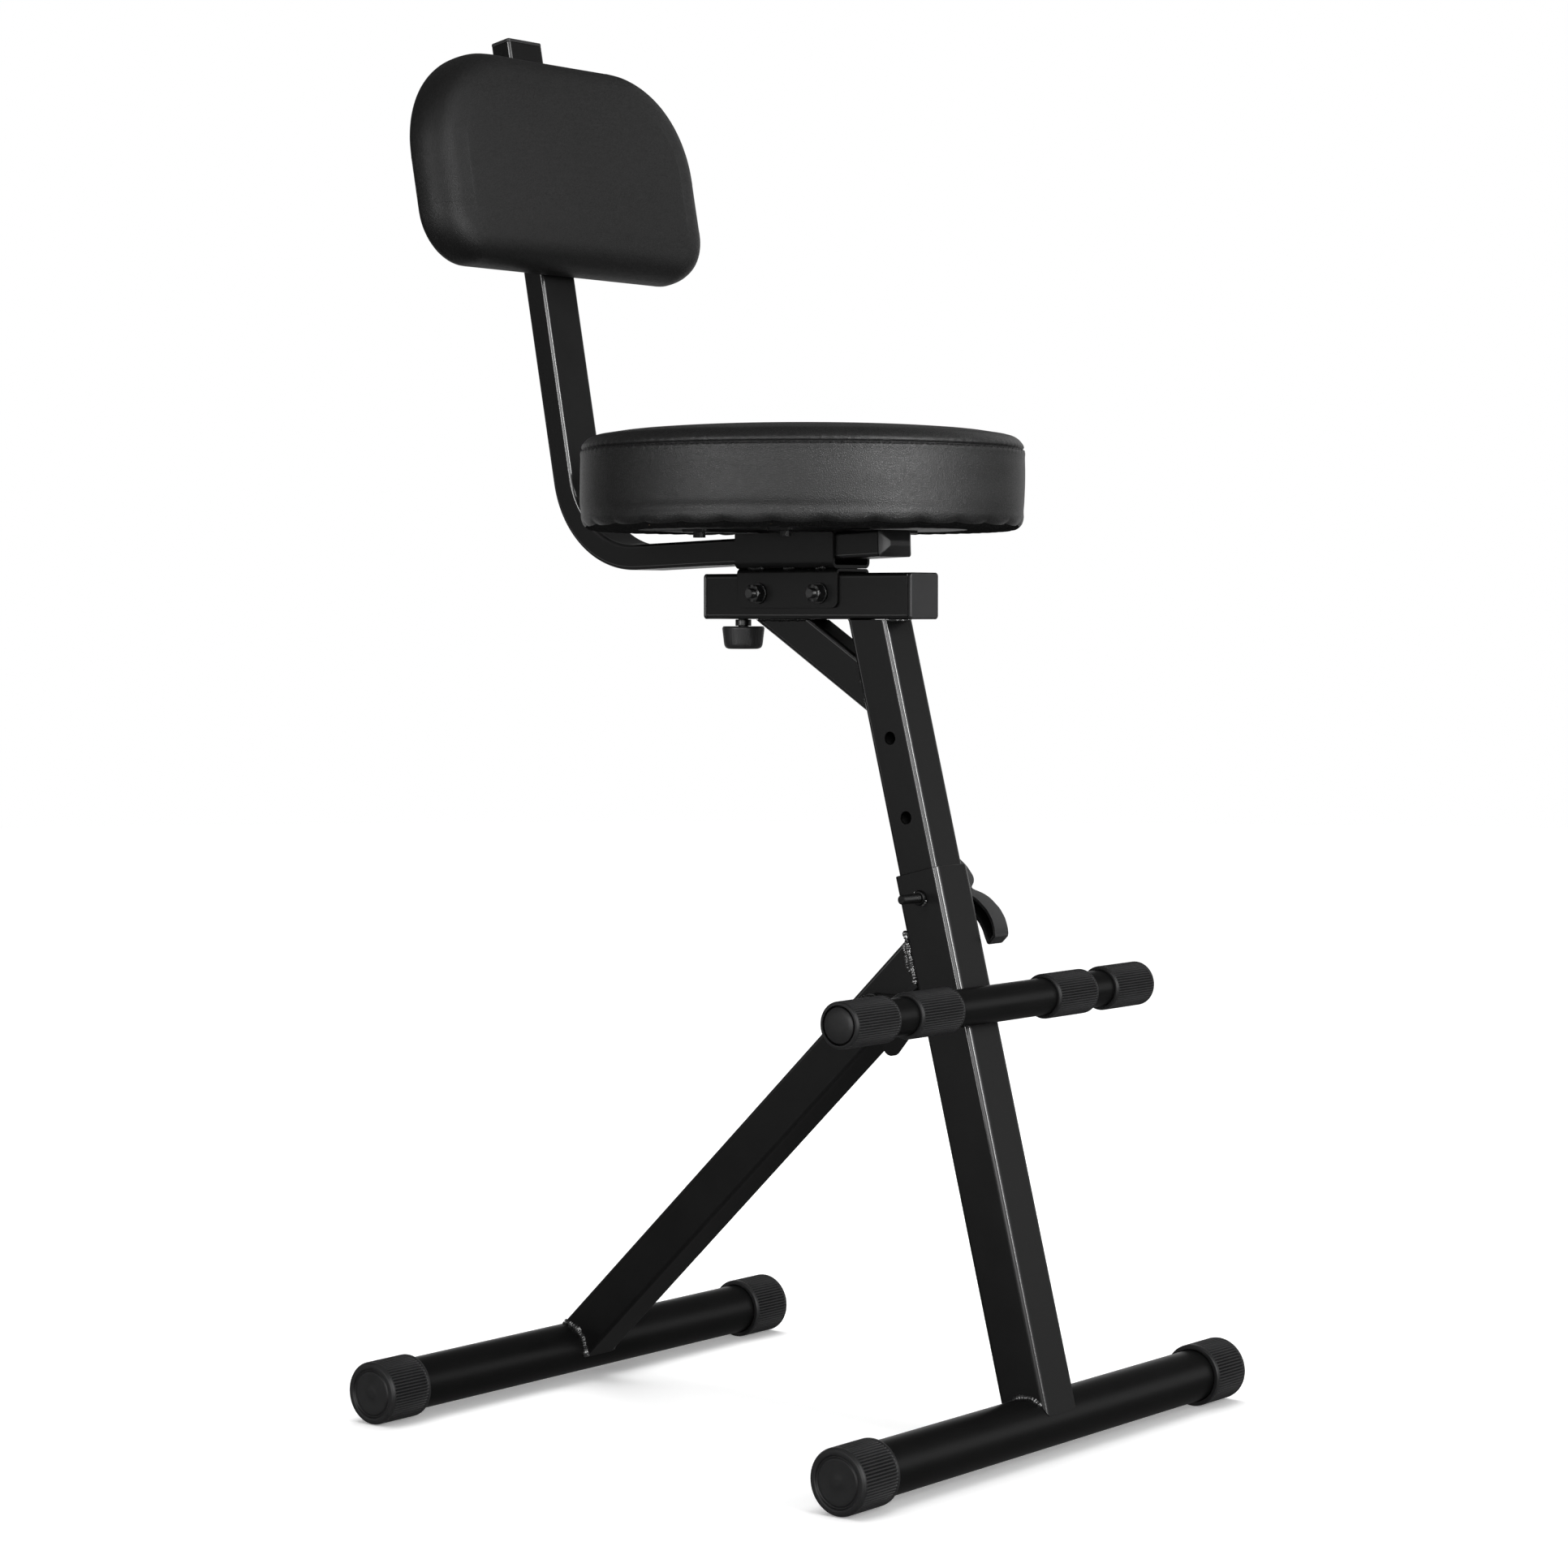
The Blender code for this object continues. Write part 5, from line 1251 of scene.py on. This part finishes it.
crown = (1 - (pad_start[..., 0] / pad_width * 2) ** 2) * (1 - (pad_start[..., 2] / pad_height * 2) ** 2)
pad_start[..., 1] -= crown_height * crown * np.clip((-board_back - pad_start[..., 1] - 0.012) / 0.02, 0, 1)
pad_start = put(pad_start + (0, 0, pad_middle), upright_place)
pad_held = np.where(np.arange(len(pad_start)) < 6, 1.0, 0.0)
pad_grid = puffed("pad_cover", pad_start, pad_held, 2.0, 0.0012)
fine_rows, back_rows, edge_row = 110, 22, 30
pad = sampled(pad_grid, np.linspace(0, len(pad_grid) - 1, fine_rows))
pad = sampled(pad.swapaxes(0, 1), np.arange(pad.shape[1] * 4) / 4, closed=True).swapaxes(0, 1)
pad_angle = np.arange(pad.shape[1]) * 2 * np.pi / pad.shape[1]
behind = np.clip(1 - np.arange(fine_rows)[:, None] / back_rows, 0, 1)
pad = pad + facing_out(pad, edge_row) * (-0.0012 * behind * folds(pad_angle, 46, 11))[..., None]
pad_piece = add_piece("backrest_pad_cover", [pad], "pad", pad_leather, ["backrest_pad"],
                      sharp=80)

# %% [markdown]
# ## Welds
# The steel is joined with short hand-made weld beads. A bead looks like a row of overlapping coins: a round
# ridge whose thickness rises and falls every two millimetres, with some chance in it. Here a bead is a circle
# carried along a path, with its radius swelling in steps and shrinking to nothing at both ends. The paths
# are taken from the cut ends of the tubes, so each bead lies in its own joint. The long beads shine, and the
# short ones under the seat are as satin as the steel.

# %% Weld beads
def weld_bead(path, radius, seed, pitch=0.0022):
    """Closed bead round a path of points: radius times a rising saw of the distance, times chance, times a
    round start and end."""
    random = np.random.default_rng(seed)
    path = np.asarray(path, float)
    length = np.r_[0, np.cumsum(np.linalg.norm(np.diff(path, axis=0), axis=1))]
    count = max(int(length[-1] / 0.0004), 12)
    at = np.linspace(0, length[-1], count)
    line = np.stack([np.interp(at, length, path[:, k]) for k in range(3)], 1)
    ahead = np.gradient(line, axis=0)
    ahead /= np.linalg.norm(ahead, axis=1, keepdims=True)
    side = np.cross(ahead, (0.31, 0.52, 0.79))
    side /= np.linalg.norm(side, axis=1, keepdims=True)
    up = np.cross(ahead, side)
    chance = np.interp(at, np.arange(0, length[-1] + 0.003, 0.003),
                       random.uniform(0.75, 1.2, len(np.arange(0, length[-1] + 0.003, 0.003))))
    coin = 0.78 + 0.3 * ((at / pitch + random.uniform(0, 0.3, count) * 0.3) % 1) ** 1.5
    ends = np.sqrt(np.clip(np.minimum(at, length[-1] - at) / radius, 0.0004, 1))
    turn = np.arange(14) * 2 * np.pi / 14
    lump = 1 + 0.10 * np.sin(turn * 2 + (at / 0.004)[:, None] * 2.1)
    thick = (radius * chance * coin * ends)[:, None] * lump
    line = line + random.normal(0, radius * 0.06, (count, 3))
    return (line[:, None] + thick[..., None] * (np.cos(turn)[:, None] * side[:, None]
                                                + np.sin(turn)[:, None] * up[:, None]))


# A bead gets the weld coat unless told otherwise, with its lighter black as a painted highlight.
def add_weld(name, paths, radius, body, seed, finish=weld_coat):
    """One piece from the beads along some paths, each with a chance of its own."""
    return add_piece(name, [weld_bead(path, radius, seed + k) for k, path in enumerate(paths)], body,
                     finish, sharp=80)


def part_of(ring, chosen):
    """The points of a ring that pass a test, kept in order and starting after the longest gap."""
    number = np.flatnonzero(chosen)
    gap = np.diff(np.r_[number, number[0] + len(ring)])
    number = np.roll(number, -(int(np.argmax(gap)) + 1))
    return ring[number]


def both_sides(seam, beyond):
    """The two stretches of a seam that lie further than a distance to the left and right of the middle."""
    return [part_of(seam, sign * seam[:, 0] > beyond) for sign in (1, -1)]


# %% Beads of the legs, the brace and the post
joint_lines = []
for line, sign in zip(both_sides(joint_seam, rear_width / 2 - 0.0006), (1, -1)):
    line = line[np.argsort(-line[:, 2])]
    up = put((0, 0, 1), front_leg_place) - front_leg_place[0]
    joint_lines.append(np.concatenate([[line[0] + up * 0.008], line]) + (sign * 0.0020, 0.0003, 0))
    joint_lines.append(line[: len(line) * 2 // 3] + (sign * 0.0002, 0.0042, -0.002))
add_weld("leg_joint_weld", joint_lines, 0.0024, "base", 21)
add_weld("rear_foot_weld", both_sides(rear_foot_seam, rear_width / 2 - 0.0025), 0.0030, "base", 31)
add_weld("front_foot_weld", both_sides(front_foot_seam, leg_width / 2 - 0.0006), 0.0022, "base", 41)
add_weld("brace_weld", both_sides(brace_post_seam, brace_width / 2 - 0.0006), 0.0024, "seat_post", 51)
add_weld("brace_top_weld", both_sides(brace_beam_seam, brace_width / 2 - 0.0006), 0.0016, "seat_post", 53,
         powder_coat)
add_weld("post_weld", [part_of(post_seam, sign * (post_seam[:, 1] - post_seam[:, 1].mean()) > 0.0165)
                       for sign in (1, -1)], 0.0014, "seat_post", 61)

# %% Weld spots of the cradle, the bars and the height nut
spots = []
for sign in (1, -1):
    for back, length in ((-0.0330, 0.010), (-0.0020, 0.012), (0.0300, 0.016)):
        line = np.linspace(-0.5, 0.5, 8)[:, None] * (0, length, 0)
        spots.append(line + (sign * 0.0195, seat_back + back, saddle_top + 0.0006))
add_weld("cradle_weld", spots, 0.0022, "seat_post", 71, powder_coat)
ring = ring_at(circle(0.0122, 40), nut_low + 0.0003)
add_weld("height_nut_weld", [put(ring[4:12], end_place), put(ring[22:30], end_place)], 0.0009, "base", 81)

# %% [markdown]
# ## Stage and light
# The photograph is a product shot on white: the background is blank and the stool stands in its own soft
# shadow. The world and the floor are white to the camera and dimmer as a light. What satin black shows is
# mostly what it mirrors, so the things to be mirrored are built apart from those that light the scene. In a
# reflection the floor is dark near the stool, as a real floor is under a black thing, and white far away.

# %% Floor and world
def make_floor():
    """White paint plus a glow that falls off towards the stool; a reflection shows only a glow with painted
    shade near the stool.
    """
    finish = Finish("white_floor")
    finish.done(base_color=(0.95, 0.95, 0.95, 1), roughness=0.9, specular_ior_level=0.0)
    paint = Signal(finish, finish.shader.outputs[0])
    far = finish.node("VectorMath", {"operation": "LENGTH"}, {0: finish.place()}, "Value")
    glow = finish.glow(finish.seen() * far.ramp(0.30, 1.6, 0.22, 0.62))
    lit = finish.node("AddShader", {}, {0: paint, 1: glow})
    # Reflections see a glow that is dimmer near the stool: painted shade for its shadow and dark underside.
    mirrored = finish.glow(far.ramp(0.6, 3.0, 0.13, 0.95))
    in_mirror = finish.node("LightPath", {}, {}, "Is Glossy Ray")
    return finish.show(finish.node("MixShader", {}, {0: in_mirror, 1: lit, 2: mirrored}))


def add_stage(name, points, faces, material, only_mirrored=False):
    """Object that belongs to the room and not to the stool."""
    thing = add_mesh(name, points, faces)
    thing.data.materials.append(material)
    if only_mirrored:
        thing.visible_camera = thing.visible_diffuse = False
        thing.visible_transmission = thing.visible_shadow = False
    thing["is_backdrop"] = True
    print(name, "has", len(thing.data.polygons), "faces")


floor_points, floor_diameter = 96, 16
add_stage("studio_floor", ring_at(circle(floor_diameter, floor_points), 0.0), [list(range(floor_points))],
          make_floor())
world_light, world_seen = 0.42, 1.0
sky = Finish("sky", bpy.data.worlds.new("studio"))
bpy.context.scene.world = sky.material
sky.done(color=(1, 1, 1, 1), strength=sky.seen().ramp(0.0, 1.0, world_light, world_seen))

# %% [markdown]
# ## Lamps
# Two tall soft lamps stand 47 degrees to the left and right of the camera. A wide one above the stool
# doesn't show in reflections, and three more lamps show only there. The two tall cores stand in the soft
# lamps and draw the pair of bright lines along each round corner and the shine on the seat's band; the third
# puts a weak sheen on the edges of the far side. Seen along its length a round tube would mirror a whole
# core and turn silver. So the cores light only the pieces in a collection of their own, which leaves out the
# foot tubes and the footrest.

# %% Lamps
def add_lamp(name, bearing, distance, height, width, tall, watts, aim=0.5):
    """Soft lamp at a bearing round the stool, facing a point on its axis. Returns the lamp."""
    data = bpy.data.lights.new(name, "AREA")
    data.shape, data.size, data.size_y, data.energy = "RECTANGLE", width, tall, watts
    lamp = add_object(name, data)
    spot = np.array([math.cos(bearing) * distance, math.sin(bearing) * distance, height])
    lamp.location = spot
    away = spot - (0, 0, aim)
    lamp.rotation_euler = (math.atan2(math.hypot(away[0], away[1]), away[2]), 0,
                           math.atan2(away[1], away[0]) + math.pi / 2)
    print(f"{name}: {watts} W, {width} x {tall} m")
    return lamp


to_camera = math.pi * 1.5 - camera_turn
lamp_turn, lamp_distance = 47, 2.4
for side, turn, watts in (("left", -lamp_turn, 9), ("right", lamp_turn, 24)):
    add_lamp("lamp_" + side, to_camera + math.radians(turn), lamp_distance, 1.1, 0.35, 1.9, watts)
top_lamp = add_lamp("lamp_top", to_camera + math.pi, 0.4, 2.4, 2.4, 2.4, 54)
top_lamp.visible_glossy = False

# %% Core lamps
lit_by_cores = bpy.data.collections.new("lit_by_cores")
for thing in bpy.data.objects:
    if thing.type == "MESH" and not any(word in thing.name for word in ("foot", "grip", "bar_plug")):
        lit_by_cores.objects.link(thing)
for side, turn, height, width, tall, watts in (("left", -lamp_turn, 1.0, 0.30, 1.8, 42),
                                               ("right", lamp_turn, 1.0, 0.30, 1.8, 62),
                                               ("side", 141, 1.9, 1.6, 1.3, 6)):
    core = add_lamp("core_" + side, to_camera + math.radians(turn), lamp_distance, height, width, tall, watts)
    core.visible_diffuse = False
    core.light_linking.receiver_collection = lit_by_cores

# %% [markdown]
# ## Dark room
# A photographer puts black cloth round a shiny black thing and leaves gaps for the lamps. Here the cloth is
# a dome that only reflections see. It is open behind the stool, where the white backdrop gives every rim its
# light edge, and its ground starts beyond the stool's shadow. Four glowing panels hang just inside it. The
# left and the right one are what the sides and the fronts of the box tubes mirror. The key panel and the
# front one, which is round the camera, give the leather its broad shine.

# %% Dark room
room_radius, backdrop_half, backdrop_top = 7.5, 0.64, 17.5
ground_radius, ground_height, panel_share = 1.4, 0.004, 0.97


def room_patch(bearings, elevations):
    """Part of a dome: radius times the cosines and sines of the bearing and the elevation."""
    bearing, elevation = np.meshgrid(bearings, np.radians(elevations))
    return room_radius * np.stack([np.cos(bearing) * np.cos(elevation), np.sin(bearing) * np.cos(elevation),
                                   np.sin(elevation)], -1)


behind_stool = to_camera + math.pi
dark_bearings = np.linspace(behind_stool + backdrop_half, behind_stool + 2 * math.pi - backdrop_half, 48)
walls = room_patch(dark_bearings, [0, backdrop_top])
ceiling = room_patch(np.linspace(0, 2 * math.pi, 73), np.linspace(backdrop_top, 89, 8))
ring_shares = np.array([ground_radius / room_radius, 1])[:, None, None]
ground = room_patch(dark_bearings, [0, 0]) * ring_shares + (0, 0, ground_height)
# The walls, ceiling, ground and panels show only in reflections: they are painted reflections, dark cloth and
# bright panels.
patches = [("room_walls", walls, 0.16), ("room_ceiling", ceiling, 0.12), ("room_ground", ground, 0.05)]
for name, first, last, low, high, level in (("left", 132, 162, 0, 8, 2.5), ("right", -62, -22, 0, 22, 1.15),
                                            ("key", -112, -63, 4, 45, 4.6), ("front", 188, 232, 0, 30, 6.0)):
    panel = room_patch(np.radians(np.linspace(first, last, 12)), np.linspace(low, high, 4)) * panel_share
    patches.append((f"room_{name}_panel", panel, level))
for name, patch, level in patches:
    cloth = Finish(name)
    add_stage(name, patch, patch_faces(*patch.shape[:2], False, False), cloth.show(cloth.glow(level)), True)

# %% [markdown]
# ## Boxes
# The boxes round the model and round the dressed stool are worked out, and the dressed stool's box is
# printed.

# %% Boxes
boxes = {"cad": [list(map(float, corner)) for corner in cad_box],
         "visual": [list(map(float, corner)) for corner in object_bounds()]}
print("visual box", np.round(boxes["visual"], 4).tolist())
